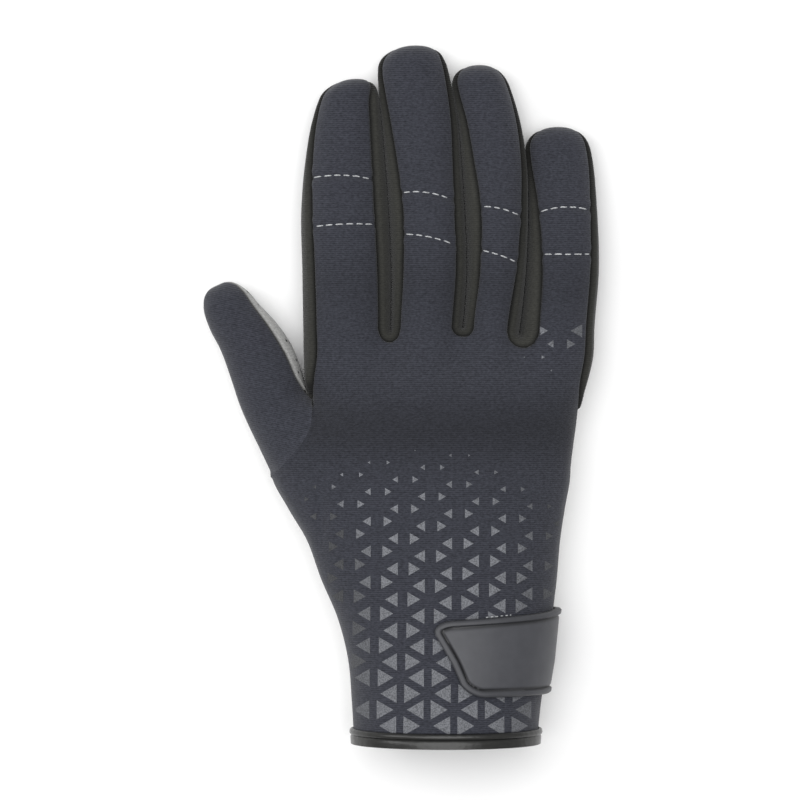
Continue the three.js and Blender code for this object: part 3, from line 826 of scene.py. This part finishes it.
def knit_material(name, light, dark, turn=0, rib=1.0):
    """Neoprene faced with a fine ribbed knit."""
    material, tree, shader = new_material(name, light, 0.88)
    place = object_place(tree, turn=turn)
    ribs = add_node(tree, "ShaderNodeTexWave", {
        "Vector": place, "Scale": 2 * math.pi / RIB_PITCH / WAVE_RADIANS, "Distortion": RIB_WANDER,
        "Detail": RIB_DETAIL, "Detail Scale": RIB_DETAIL_SCALE,
    }, wave_type="BANDS", bands_direction="Y").outputs["Fac"]
    grain = noise(tree, object_place(tree, 1.6, turn), 0.95, 8)
    share = multiply_add(tree, grain, GRAIN_SHARE, multiply_add(tree, ribs, RIB_SHARE, KNIT_LEVEL))
    set_color(tree, shader, mix_colors(tree, (*linear(dark), 1), (*linear(light), 1), share))
    soft = add_bump(tree, shader, noise(tree, place, 0.3, 4), 0.25, 0.5)
    ribbed = add_bump(tree, shader, ribs, 0.5 * rib, 0.18, soft)
    add_bump(tree, shader, grain, 0.35, 0.2, ribbed)
    feed(tree, shader, {"Sheen Weight": 0.15, "Sheen Roughness": 0.5, "Specular IOR Level": 0.25})
    return material


def palm_material():
    """Light grey heathered palm with small dark marks."""
    material, tree, shader = new_material("grey_palm", (180, 180, 178), 0.8)
    heather = noise(tree, object_place(tree, 3), 0.9, 4)
    inputs = {"Vector": object_place(tree), "Scale": 0.3, "Randomness": 0.55}
    marks = add_node(tree, "ShaderNodeTexVoronoi", inputs).outputs["Distance"]
    grey = color_ramp(tree, heather, [(0.3, (156, 156, 155)), (0.7, (198, 198, 196))])
    dots = color_ramp(tree, marks, [(0.16, (62, 62, 64)), (0.2, (255, 255, 255))])
    set_color(tree, shader, mix_colors(tree, grey, dots, 1, "MULTIPLY"))
    add_bump(tree, shader, heather, 0.3, 0.3)
    return material


def fading(color):
    """The colour stops of a plain colour that is darker where its noise is low."""
    return [(0.36, tuple(FADED_SHARE * each for each in color)), (0.6, color)]


def surface_material(name, color, roughness, stops, stretch, mottle, grain, bump):
    """A plain surface: one noise carries its colour, and another its bump."""
    material, tree, shader = new_material(name, color, roughness)
    mottled = noise(tree, object_place(tree, stretch), *mottle)
    set_color(tree, shader, color_ramp(tree, mottled, stops))
    add_bump(tree, shader, noise(tree, object_place(tree), *grain), *bump)
    return material


SURFACES = rows_of(("name", "color", "roughness", "stops", "stretch", "mottle", "grain", "bump"), [
    ("glossy_tape", (60, 60, 56), 0.3, [(0.3, (18, 18, 17)), (0.7, (30, 30, 28))],
     2, (0.6, 5), (0.5, 3), (0.3, 0.5)),
    ("moulded_rubber", (92, 93, 95), 0.5, [(0.3, (57, 58, 63)), (0.75, (63, 64, 69))],
     1, (0.25, 3), (3, 2), (0.12, 0.1)),
    ("light_thread", THREAD_COLOR, 0.7, fading(THREAD_COLOR),
     1, (2.2, 3), (2.2, 3), (0.2, 0.1)),
    ("print_ink", PRINT_COLOR, 0.8, fading(PRINT_COLOR),
     1, (2.2, 3), (2.2, 3), (0.2, 0.1)),
])
navy = knit_material("navy_neoprene", NAVY_LIGHT, NAVY_DARK)
navy_thumb = knit_material("navy_neoprene_thumb", NAVY_LIGHT, NAVY_DARK, turn=THUMB_KNIT_TURN)
black_knit = knit_material("black_knit", (60, 60, 56), (36, 36, 33), rib=1.3)
grey_palm = palm_material()
tape, rubber, thread, print_ink = [surface_material(**row) for row in SURFACES]


# Places in the photograph


def scale_at(level):
    """How many millimetres a pixel is at a height over the floor."""
    return PHOTO_SCALE * (CAMERA_HEIGHT - level) / (CAMERA_HEIGHT - PHOTO_LEVEL)


def photo_point(px, py, level=PHOTO_LEVEL):
    """The point at a height over the floor that the photograph shows at a pixel."""
    scale = scale_at(level)
    return np.array((CAMERA_X + (px - PHOTO_MIDDLE) * scale,
                     CAMERA_Y - (py - PHOTO_MIDDLE) * scale, level))


def pixels_of(points):
    """The pixels at which the photograph shows points."""
    scale = scale_at(points[:, 2])
    return np.column_stack([PHOTO_MIDDLE + (points[:, 0] - CAMERA_X) / scale,
                            PHOTO_MIDDLE - (points[:, 1] - CAMERA_Y) / scale])


camera_place = Vector((CAMERA_X, CAMERA_Y, CAMERA_HEIGHT))


def make_caster(piece):
    """A function that gives the place and normal of a piece's surface behind a pixel."""
    mesh = piece.data
    points = [tuple(vertex.co / MM) for vertex in mesh.vertices]
    tree = BVHTree.FromPolygons(points, [tuple(face.vertices) for face in mesh.polygons])

    def cast(px, py):
        aim = Vector(photo_point(px, py)) - camera_place
        place, normal, _, _ = tree.ray_cast(camera_place, aim.normalized())
        return (np.array(place), np.array(normal)) if place else None

    return cast


# The rows of stitches over the finger joints and over the strap, by the pixels that each passes
STITCH_ROWS = [
    ((313, 178), (334, 175), (351, 176), (371, 179)),
    ((315.5, 226.5), (337, 224), (352, 224.4), (373, 224.4)),
    ((402, 193), (417, 191.5), (434, 194), (452.6, 200)),
    ((405, 234), (420, 235.4), (434, 238), (452.6, 244)),
    ((483, 207), (490, 206.5), (502, 209), (520, 216)),
    ((481, 250), (489, 252), (498.5, 254.6), (516, 262)),
    ((540, 212), (553, 208.5), (571, 207), (589, 210)),
    ((541, 254.6), (550, 254.2), (559, 254.4), (590, 254)),
]
STRAP_STITCHES = ((485, 617.6), (498, 616.4), (512, 615))


def row_line(row, count=60):
    """Pixels along a smooth line through a row's pixels."""
    x, y = np.array(row).T
    places = np.linspace(x[0], x[-1], count)
    return np.column_stack([places, np.polyval(np.polyfit(x, y, 2), places)])


# The panels' relief in millimetres, with the crease's place and width in pixels

EDGE_DEPTH = 0.8
EDGE_WIDTH = 1.4
DRAPE = 0.11
DRAPE_EDGE = 4
# The waves across and along the hand: each one's period, and how much and how slowly it sways
DRAPE_WAVES = ((9, 2, 23), (13, 1.5, 17))
PLEATS = rows_of(("away", "reach", "height"), [(2.4, 1.3, 0.3), (0, 0.8, -0.5)])
CREASE_X = 321
CREASE_WIDTH = 6
CREASE_TOP = 474
CREASE_BOTTOM = 560
CREASE_DEPTH = 0.6
PUFF_EDGE = 2.2
PUFF_ASIDE = 0.15
PUFF_UP = 1.3
SWELL = 0.7
SWELL_EDGE = 1.5
SWELL_AWAY = 3
SWELL_REACH = 5

# Each row's pixel height, its ends' pixels from the hand's side on, and their heights
TONGUE_ROWS = ((397, 314.2, 307.6, 15.2, 12.4), (402, 315, 309.5, 14, 12))
TONGUE_NORMAL = unit(np.array((-0.4, 0.1, 0.9)))

# Painted shade: how dark the side strips are where they face each other and the palm at the
# thumb's crotch, between which values each of these fades, and the back's bands of painted shade
# in pixels
DARKEST = 0.2
SIDE_FACING = (0.125, 0.75)
CROTCH_REACH = (2, 5)
BANDS = rows_of(("y", "reach", "darkness"), [(428, 34, 0.4), (285, 30, 0.16)])


def rolled(distance):
    """How far an edge is rolled down towards its seam."""
    return -EDGE_DEPTH * np.clip(1 - distance / EDGE_WIDTH, 0, 1) ** 2


def panel_relief(nodes, distance):
    """Rolled edges, and slow, slight waves of the cloth."""
    x, y = nodes[:, 0], nodes[:, 1]
    waves = sum(np.sin(a / period + sway * np.sin(b / slow))
                for (period, sway, slow), (a, b) in zip(DRAPE_WAVES, ((x, y), (y, x))))
    return rolled(distance) + DRAPE * waves * np.clip(distance / DRAPE_EDGE, 0, 1)


def flat(pixels):
    return np.pad(pixels, ((0, 0), (0, 1)))


def back_relief(nodes, distance):
    """The back also dips along the stitched rows, and along a soft crease over the wrist."""
    pixels = pixels_of(nodes[:, :3] + SHIFT)
    rows = np.vstack([row_line(row) for row in STITCH_ROWS])
    away = distances_to(flat(pixels), flat(rows)) * PHOTO_SCALE
    pleats = sum(row["height"] * hump(away, row["away"], row["reach"]) for row in PLEATS)
    along = (pixels[:, 1] - CREASE_TOP) / (CREASE_BOTTOM - CREASE_TOP)
    window = np.clip(4 * along * (1 - along), 0, 1)
    crease = -CREASE_DEPTH * window * hump(pixels[:, 0], CREASE_X, CREASE_WIDTH)
    return panel_relief(nodes, distance) + pleats + crease


def side_relief(nodes, distance):
    """The side strips are puffed up where they face up, like a round cord beside the seam."""
    puff = PUFF_ASIDE + PUFF_UP * np.clip(nodes[:, 5], 0, 1)
    return rolled(distance) + climb(distance, 0, PUFF_EDGE) * puff


def crotch_distance(nodes):
    return np.linalg.norm(nodes[:, :3] - thumb["back"][0, 0, :3], axis=1)


def index_relief(nodes, distance):
    """The index finger's strip also swells beside the thumb's crotch."""
    swell = climb(distance, 0, SWELL_EDGE) * hump(crotch_distance(nodes), SWELL_AWAY, SWELL_REACH)
    return side_relief(nodes, distance) + SWELL * swell


def side_painted_shade(nodes):
    """Painted shade: the strips are dark where they face each other and where they turn sideways."""
    return lerp(DARKEST, 1, climb(nodes[:, 5], *SIDE_FACING))


def crotch_painted_shade(nodes):
    """Painted shade darkens the grey cloth where it runs into the thumb's crotch."""
    return lerp(DARKEST, 1, climb(crotch_distance(nodes), *CROTCH_REACH))


def back_painted_shade(nodes):
    """Painted shade: the cloth is darker in bands under the knuckles and over the finger roots."""
    y = pixels_of(nodes[:, :3] + SHIFT)[:, 1]
    return 1 - sum(band["darkness"] * hump(y, band["y"], band["reach"]) for band in BANDS)


def crotch_tongue():
    """The end of the index finger's strip, which lies flat under the thumb's crotch."""
    rows = []
    for y, right, left, high, low in TONGUE_ROWS:
        shares = np.linspace(0, 1, SIDE_CELLS + 1)
        places = [photo_point(lerp(right, left, t), y, lerp(high, low, t)) - SHIFT for t in shares]
        rows.append(np.hstack([places, np.tile(TONGUE_NORMAL, (len(shares), 1))]))
    return np.array(rows)


def add_strip(name, ribbon, relief=side_relief):
    node = f"fourchette_{name}"
    add_panel(f"{node}_knit", node, [ribbon], SIDE_WALL, black_knit, "black_knit", relief, side_painted_shade)


def build_panels():
    """Makes all the panels, and returns the back."""
    back = smooth_panel("back", fingers, hands["back"])
    palm = smooth_panel("palm", fingers, hands["palm"])
    back = add_panel("back_panel_knit", "back_panel", back, BACK_WALL, navy, "navy_neoprene",
                     back_relief, back_painted_shade)
    add_panel("palm_panel_grip", "palm_panel", palm, PALM_WALL, grey_palm, "grey_palm",
              panel_relief, crotch_painted_shade)
    side_steps = edged(SIDE_CELLS, SIDE_FINE)
    for i, turn in enumerate(crotches):
        before = fill_across(fingers[i]["right"][::-1], side_steps)
        after = fill_across(fingers[i + 1]["left"], side_steps)
        bend = np.vstack([before[-1:], fill_across(turn, side_steps), after[:1]])
        ribbon = np.vstack([fill(before, steps_for(before, FINGER_STEP))[:-1],
                            fill(bend, [even(CROTCH_FINE)] * CROTCH_CELLS)[:-1],
                            fill(after, steps_for(after, FINGER_STEP))])
        add_strip(f"{FINGERS[i]['name']}_{FINGERS[i + 1]['name']}", ribbon)
    ends = (("index_outer", fingers[0], "left", INDEX_STRIP_END_ROW, index_relief),
            ("little_outer", fingers[-1], "right", LITTLE_STRIP_END_ROW, side_relief))
    for name, finger, side, end_row, relief in ends:
        ribbon = [finger[side][::-1], build_hand_strip(finger, side, end_row)]
        if relief is index_relief:
            ribbon.append(crotch_tongue())
        ribbon = fill_across(np.vstack(ribbon), side_steps)
        add_strip(name, fill(ribbon, steps_for(ribbon, OUTER_STEP)), relief)
    build_thumb_covers()
    return back


def build_thumb_covers():
    steps = edged(thumb["back"].shape[1] - 1, THUMB_FINE)
    above = len(HAND_ROWS) - 1 - THUMB_CROTCH_ROW
    below = len(HAND_ROWS) - 1 - above - len(steps)
    covers = (("back", BACK_WALL, navy_thumb, "navy_neoprene", None),
              ("palm", PALM_WALL, grey_palm, "grey_palm", crotch_painted_shade))
    for name, wall, material, slot, painted_shade in covers:
        sheet = fill_across(thumb[name], steps)
        # The thumb's first row is the very line that the hand's smooth edge follows
        edge = fill(hands[name][:, :1], [even(1)] * above + steps + [even(1)] * below)
        sheet[0] = edge[above:above + sheet.shape[1], 0]
        sheet = fill(sheet, steps_for(sheet))
        node = f"thumb_{name}"
        add_panel(f"{node}_cover", node, [sheet], wall, material, slot, panel_relief, painted_shade)


cast_back = make_caster(build_panels())


# The hem's binding: a tape folded over the hem, with a ridge over its stitch line

BINDING_ROUND = 144
BINDING_SOFT = 0.45
BINDING_SHADE = 0.4

# The outer face from the top down: each corner's height, how far in it lies, and its shade, which
# is painted: a painted highlight on the ridge, and painted shade in the groove over the stitch line
# and at the top and bottom edges
BINDING_FACE = (
    (4.982, 0.09, 0.4), (4.558, 0, 0.9), (4.134, -0.15, 1.25), (3.604, 0, 0.9), (3.18, 0.5, 0.25),
    (2.809, 0.25, 0.6), (2.385, 0.1, 1), (1.325, 0.1, 1.05), (0.54, 0.15, 0.9),
    (0.1575, 0.1575, 0.6),
)


def build_binding():
    outside = BINDING_CLEARANCE + BINDING_WALL
    inside = -(BACK_WALL + BINDING_CLEARANCE)
    soft = BINDING_WALL * BINDING_SOFT
    level = BINDING_HEIGHT
    # Painted shade on the tape's top, where it meets the panel, and on its underside and inside
    profile = [(BINDING_CLEARANCE, level, 0.1), (outside - soft, level, 0.15)]
    profile += [(outside - inset, up, shade) for up, inset, shade in BINDING_FACE]
    profile += [(out, up, BINDING_SHADE) for out, up in (
        (outside - soft, 0), (inside - BINDING_WALL + soft, 0), (inside - BINDING_WALL, soft),
        (inside - BINDING_WALL, level), (inside, level), (inside, BINDING_WALL),
        (BINDING_CLEARANCE, BINDING_WALL))]
    points = []
    angles = np.linspace(0, 360, BINDING_ROUND, endpoint=False)
    for out, up, _ in profile:
        nodes = section_nodes(hand_section(share_up(up)), angles)
        ring = nodes[:, :3] + nodes[:, 3:] * out
        ring[:, 1] = up
        points.append(ring + SHIFT)
    points = np.array(points).reshape(-1, 3)
    faces = [turned(face) for face in grid_faces(len(profile), BINDING_ROUND, closed=True)]
    shade = np.repeat([shade for _, _, shade in profile], BINDING_ROUND)
    piece = add_mesh("cuff_binding_tape", points, faces, tape, shade=shade)
    return finish_piece(piece, "glossy_tape", "cuff_binding")


build_binding()


# The strap: a moulded band bent round the wrist's outer side, with a raised rim and a groove
# inside it, both given by their distance from the strap's edge

STRAP_FLARED = 90
STRAP_CORNER_ROUND = 5
STRAP_COLUMNS = 150
STRAP_LEVELS = 48
STRAP_CLOSENESS = 1.35
STRAP_EDGE_ROUND = 0.7
STRAP_RIM_SHOWN = 1.9
STRAP_RIM_SLOPE = 0.5
STRAP_GROOVE = 2.5
STRAP_GROOVE_DEPTH = 0.5
STRAP_GROOVE_WIDTH = 0.45
# How dark the groove's painted shade is, how much darker the rim is, the painted shade of the rounded
# edge and of the underside, and the width over which these fade
STRAP_GROOVE_DARKNESS = 0.85
STRAP_RIM_SHADE = 0.86
STRAP_EDGE_SHADE = 0.6
STRAP_INNER_SHADE = 0.5
STRAP_FADE = 0.5


def strap_profile(distance):
    """Height of the strap's face over its lowest level, from the distance to its edge."""
    slope = climb(distance, STRAP_RIM_SHOWN, STRAP_RIM_SHOWN + STRAP_RIM_SLOPE)
    rim = STRAP_RIM_HEIGHT * (1 - slope)
    groove = -STRAP_GROOVE_DEPTH * hump(distance, STRAP_GROOVE, STRAP_GROOVE_WIDTH)
    edge = -STRAP_EDGE_ROUND * np.clip(1 - distance / STRAP_EDGE_ROUND, 0, 1) ** 2
    return rim + groove + edge


def build_strap():
    roundness = WRIST_HEIGHT / 2
    tab_middle = (STRAP_TAB_LOW + STRAP_TAB_HIGH) / 2
    shares = np.linspace(0, 1, STRAP_COLUMNS + 1) ** STRAP_CLOSENESS
    nodes = []
    length = math.radians(STRAP_END - tab_middle) * roundness
    for share in shares:
        turn = lerp(tab_middle, STRAP_END, share)
        width = STRAP_WIDTH + STRAP_SLOPE * ramp(turn, 0, STRAP_FLARED)
        corner = STRAP_CORNER_ROUND
        into = clamp(corner - min(share, 1 - share) * length, 0, corner)
        cut = corner - math.sqrt(corner**2 - into**2)
        for level in np.linspace(cut, width - cut, STRAP_LEVELS + 1):
            slant = lerp(STRAP_TAB_LOW, STRAP_TAB_HIGH, level / width) - tab_middle
            section = hand_section(share_up(STRAP_BOTTOM + level))
            nodes.append(section_nodes(section, np.array([turn + slant * (1 - share)]))[0])
    faces = [turned(face) for face in grid_faces(STRAP_COLUMNS + 1, STRAP_LEVELS + 1)]
    nodes = np.array(nodes)
    rim = nodes[sorted({i for edge in border_of(faces) for i in edge}), :3]
    distance = distances_to(nodes[:, :3], rim)
    height = STRAP_CLEARANCE + STRAP_WALL + strap_profile(distance)
    inner = nodes[:, :3] + nodes[:, 3:] * STRAP_CLEARANCE + SHIFT
    outer = nodes[:, :3] + nodes[:, 3:] * height[:, None] + SHIFT
    # Painted shade: the groove near black and the rounded edge darker; the rim is a little darker than
    # the face inside it, and the underside is painted dark
    shade = 1 - STRAP_GROOVE_DARKNESS * hump(distance, STRAP_GROOVE, STRAP_FADE)
    shade *= lerp(STRAP_RIM_SHADE, 1, climb(distance, STRAP_GROOVE, STRAP_GROOVE + STRAP_FADE))
    shade *= lerp(STRAP_EDGE_SHADE, 1, climb(distance, 0, STRAP_FADE))
    piece = add_shell("wrist_strap_moulded", outer, inner, faces, rubber, shade, STRAP_INNER_SHADE)
    return finish_piece(piece, "moulded_rubber", "wrist_strap")


build_strap()


# Stitches: each dash's length, the gap after it, how both vary, and the thread's shape

DASH = 2.8
DASH_VARIES = (0.85, 1.1)
DASH_GAP = 0.6
GAP_VARIES = (0.8, 1.2)
DASH_INSET = 0.2
DASH_POINTS = 6
STRAP_DASH = 1.1
THREAD_RADIUS = 0.25
STRAP_THREAD_RADIUS = 0.2
THREAD_LIFT = 1.1
THREAD_SUNK = 0.5
THREAD_END = 0.02
THREAD_SQUARENESS = 4
TUBE_SIDES = 8


def add_threads(name, paths, radius, material, slot):
    """Short round threads along paths of (point, normal), which dip in at both ends."""
    points = []
    faces = []
    for path in paths:
        places, normals = (np.array(each) for each in zip(*path))
        normals = unit(normals)
        aside = unit(np.cross(unit(np.gradient(places, axis=0)), normals))
        full = 1 - np.linspace(-1, 1, len(path)) ** THREAD_SQUARENESS
        swell = np.sqrt(np.clip(full, THREAD_END, 1))
        start = len(points)
        for i in range(len(path)):
            centre = places[i] + normals[i] * radius * (THREAD_LIFT * full[i] - THREAD_SUNK)
            for turn in np.linspace(0, 2 * math.pi, TUBE_SIDES, endpoint=False):
                ray = math.cos(turn) * aside[i] + math.sin(turn) * normals[i]
                points.append(centre + ray * radius * swell[i])
        for i in range(len(path) - 1):
            for k in range(TUBE_SIDES):
                a = start + i * TUBE_SIDES + k
                b = start + i * TUBE_SIDES + (k + 1) % TUBE_SIDES
                faces.append((a, b, b + TUBE_SIDES, a + TUBE_SIDES))
        last = start + (len(path) - 1) * TUBE_SIDES
        faces.append(tuple(range(start, start + TUBE_SIDES))[::-1])
        faces.append(tuple(range(last, last + TUBE_SIDES)))
    return finish_piece(add_mesh(name, points, faces, material, sharp=0), slot)


def row_dashes(row, dash):
    """The dashes of one stitched row, as paths over the back."""
    line = row_line(row)
    runs = np.concatenate([[0], np.cumsum(np.linalg.norm(np.diff(line, axis=0), axis=1))])
    runs *= PHOTO_SCALE
    paths = []
    covered = runs[[cast_back(*place) is not None for place in line]]
    start = covered[0] + DASH_INSET
    while start + dash / 2 < covered[-1]:
        length = min(dash * rng.uniform(*DASH_VARIES), covered[-1] - DASH_INSET - start)
        path = [cast_back(np.interp(run, runs, line[:, 0]), np.interp(run, runs, line[:, 1]))
                for run in np.linspace(start, start + length, DASH_POINTS)]
        if all(path):
            paths.append(path)
        start += length + DASH_GAP * rng.uniform(*GAP_VARIES)
    return paths


dashes = [path for row in STITCH_ROWS for path in row_dashes(row, DASH)]
add_threads("joint_stitches", dashes, THREAD_RADIUS, thread, "grey_palm")
dashes = row_dashes(STRAP_STITCHES, STRAP_DASH)
add_threads("strap_stitches", dashes, STRAP_THREAD_RADIUS, thread, "grey_palm")


# The print: triangles in upright columns, which shrink towards the hand. Places and sides are in
# the photograph's pixels, and a pair of places says where a change starts and ends.

BARS = range(-4, 7)
HALF_ROWS = range(-5, 20)
BAR_X = 400.5
BAR_Y = 693.7
BAR_STEP = 27
BAR_LEAN = 0.022
ROW_PITCH = 32
ROW_SHRINK = 0.2
ROW_SLOPE = 0.09
SLOPED_Y = (680, 560)
CENTROID = 9.2
PRINT_X = 440
PRINT_TOP = 448
PRINT_BOW_LEFT = 0.0018
PRINT_BOW_RIGHT = 0.0035
PRINT_FADE = 250
PRINT_SIDE = 19
PRINT_SIDE_MOST = 1.05
PRINT_END = 727
# Painted shade darkens the print towards both sides of the wrist, down to its faintest share, and in a
# band over the upper middle where the back is darkest; low down the print is a little fainter
LEFT_X = (318, 352)
LEFT_Y = (490, 550)
LEFT_FADE = 22
RIGHT_X = (556, 506)
FAINTEST = 0.3
SHADE_BAND_DIMMING = 0.3
SHADE_BAND_X = (400, 460)
SHADE_BAND_Y = (540, 480)
LOW_STRENGTH = 0.85
LOW_Y = (640, 490)
KNUCKLE_BARS = range(-1, 2)
KNUCKLE_HALF_ROWS = range(-3, 2)
KNUCKLE_X = 560.5
KNUCKLE_Y = 344
KNUCKLE_PITCH = 26.4
KNUCKLE_LEFT = 540
KNUCKLE_RIGHT = 579
KNUCKLE_TOP = 325
KNUCKLE_LOW = 387
KNUCKLE_EDGE_SLOPE = 0.9
KNUCKLE_SIDE = 9.8
KNUCKLE_WIDER = 0.12
KNUCKLE_LESS = 0.2
KNUCKLE_FAINTEST = 0.62
KNUCKLE_FADE = (560, 540)
SMALLEST_SIDE = 1.3
PRINT_CELLS = 5
PRINT_LIFT = 0.06


def lattice(bars, half_rows, place):
    """Centroids of a lattice's triangles, and which way each points (-1 left, 1 right)."""
    for bar in bars:
        for half in half_rows:
            if (half - bar) % 2 == 0:
                x, y = place(bar, half / 2)
                yield x - CENTROID, y, -1
                yield x + CENTROID, y, 1


def wrist_place(bar, row):
    y = BAR_Y - (ROW_PITCH * row - ROW_SHRINK * row * row)
    y += ROW_SLOPE * ramp(y, *SLOPED_Y) * BAR_STEP * bar
    return BAR_X + BAR_STEP * bar + BAR_LEAN * (BAR_Y - y), y


def wrist_print(x, y):
    """The side of the triangle at a place over the wrist, and how strongly it shows: painted shade
    dims it towards both sides of the wrist and in the back's dark band, and it is fainter low down.
    """
    bow = PRINT_BOW_RIGHT if x > PRINT_X else PRINT_BOW_LEFT
    top = PRINT_TOP + bow * (x - PRINT_X) ** 2
    side = PRINT_SIDE * math.sqrt(clamp((y - top) / PRINT_FADE, 0, PRINT_SIDE_MOST))
    left = lerp(*LEFT_X, ramp(y, *LEFT_Y))
    strength = lerp(FAINTEST, 1, ramp(x, left, left + LEFT_FADE) * ramp(x, *RIGHT_X))
    strength *= 1 - SHADE_BAND_DIMMING * ramp(x, *SHADE_BAND_X) * ramp(y, *SHADE_BAND_Y)
    return side, strength * lerp(LOW_STRENGTH, 1, ramp(y, *LOW_Y))


def knuckle_place(bar, row):
    return KNUCKLE_X + BAR_STEP * bar, KNUCKLE_Y - KNUCKLE_PITCH * row


def knuckle_print(x, y):
    """The same for the patch beside the little finger's root."""
    side = KNUCKLE_SIDE + KNUCKLE_WIDER * (x - KNUCKLE_LEFT) - KNUCKLE_LESS * (y - KNUCKLE_TOP)
    above = y + KNUCKLE_EDGE_SLOPE * (x - KNUCKLE_LEFT) < KNUCKLE_LOW
    inside = above and x < KNUCKLE_RIGHT and y > KNUCKLE_TOP
    return (side if inside else 0), lerp(KNUCKLE_FAINTEST, 1, ramp(x, *KNUCKLE_FADE))


def add_print(name, triangles):
    """Flat printed triangles that lie on the back."""
    points = []
    faces = []
    shades = []
    for x, y, way, side, strength in triangles:
        depth = side * math.sqrt(3) / 2
        corners = np.array([(x - way * depth / 3, y - side / 2), (x - way * depth / 3, y + side / 2),
                            (x + way * 2 * depth / 3, y)])
        hits = {}
        for i in range(PRINT_CELLS + 1):
            for j in range(PRINT_CELLS + 1 - i):
                weights = np.array((i, j, PRINT_CELLS - i - j)) / PRINT_CELLS
                hits[i, j] = cast_back(*(weights @ corners))
        if not all(hits.values()):
            continue
        number = {key: len(points) + i for i, key in enumerate(hits)}
        # way also orders each face's corners, so that it faces out
        points += [place + normal * PRINT_LIFT for place, normal in hits.values()]
        shades += [strength] * len(hits)
        for i in range(PRINT_CELLS):
            for j in range(PRINT_CELLS - i):
                cells = [((i, j), (i + 1, j), (i, j + 1))]
                if j < PRINT_CELLS - i - 1:
                    cells.append(((i + 1, j), (i + 1, j + 1), (i, j + 1)))
                faces += [[number[key] for key in cell][::way] for cell in cells]
    piece = add_mesh(name, points, faces, print_ink, sharp=0, shade=shades)
    return finish_piece(piece, "grey_palm")


triangles = [(x, y, way, *wrist_print(x, y)) for x, y, way in lattice(BARS, HALF_ROWS, wrist_place)
             if y < PRINT_END]
triangles += [(x, y, way, *knuckle_print(x, y))
              for x, y, way in lattice(KNUCKLE_BARS, KNUCKLE_HALF_ROWS, knuckle_place)]
add_print("printed_lattice", [each for each in triangles if each[3] > SMALLEST_SIDE])


# Camera, light and floor, in metres

VIEW_REACH = 20
WORLD_LIGHT = 0.55
FLOOR_REACH = 4
LIGHTS = rows_of(("name", "place", "size", "power"), [
    ("overhead", (-0.08, 0.1, 1.6), 1.8, 21),
    ("left_fill", (-1.1, 0.3, 0.9), 0.7, 4),
])


def add_light(name, place, size, power):
    """A round light that shines on the origin."""
    data = bpy.data.lights.new(name, "AREA")
    data.shape = "DISK"
    data.size = size
    data.energy = power
    light = show(name, data)
    light.location = place
    light.rotation_euler = (-Vector(place)).to_track_quat("-Z", "Y").to_euler()


def build_stage():
    data = bpy.data.cameras.new("camera")
    data.sensor_width = SENSOR_WIDTH
    seen = 2 * PHOTO_MIDDLE * PHOTO_SCALE
    data.lens = SENSOR_WIDTH * (CAMERA_HEIGHT - PHOTO_LEVEL) / seen
    data.clip_end = VIEW_REACH
    camera = show("camera", data)
    camera.location = camera_place * MM
    bpy.context.scene.camera = camera
    for light in LIGHTS:
        add_light(**light)
    world = bpy.data.worlds.new("studio")
    world.use_nodes = True
    background = world.node_tree.nodes["Background"]
    background.inputs["Color"].default_value = (1, 1, 1, 1)
    background.inputs["Strength"].default_value = WORLD_LIGHT
    bpy.context.scene.world = world
    bpy.context.scene.view_settings.view_transform = "Standard"
    mesh = bpy.data.meshes.new("floor")
    corners = [(x * FLOOR_REACH, y * FLOOR_REACH, 0) for x, y in ((-1, -1), (1, -1), (1, 1), (-1, 1))]
    mesh.from_pydata(corners, [], [(0, 1, 2, 3)])
    material, _, _ = new_material("floor", (250, 250, 250), 0.9)
    mesh.materials.append(material)
    show("floor", mesh)


build_stage()
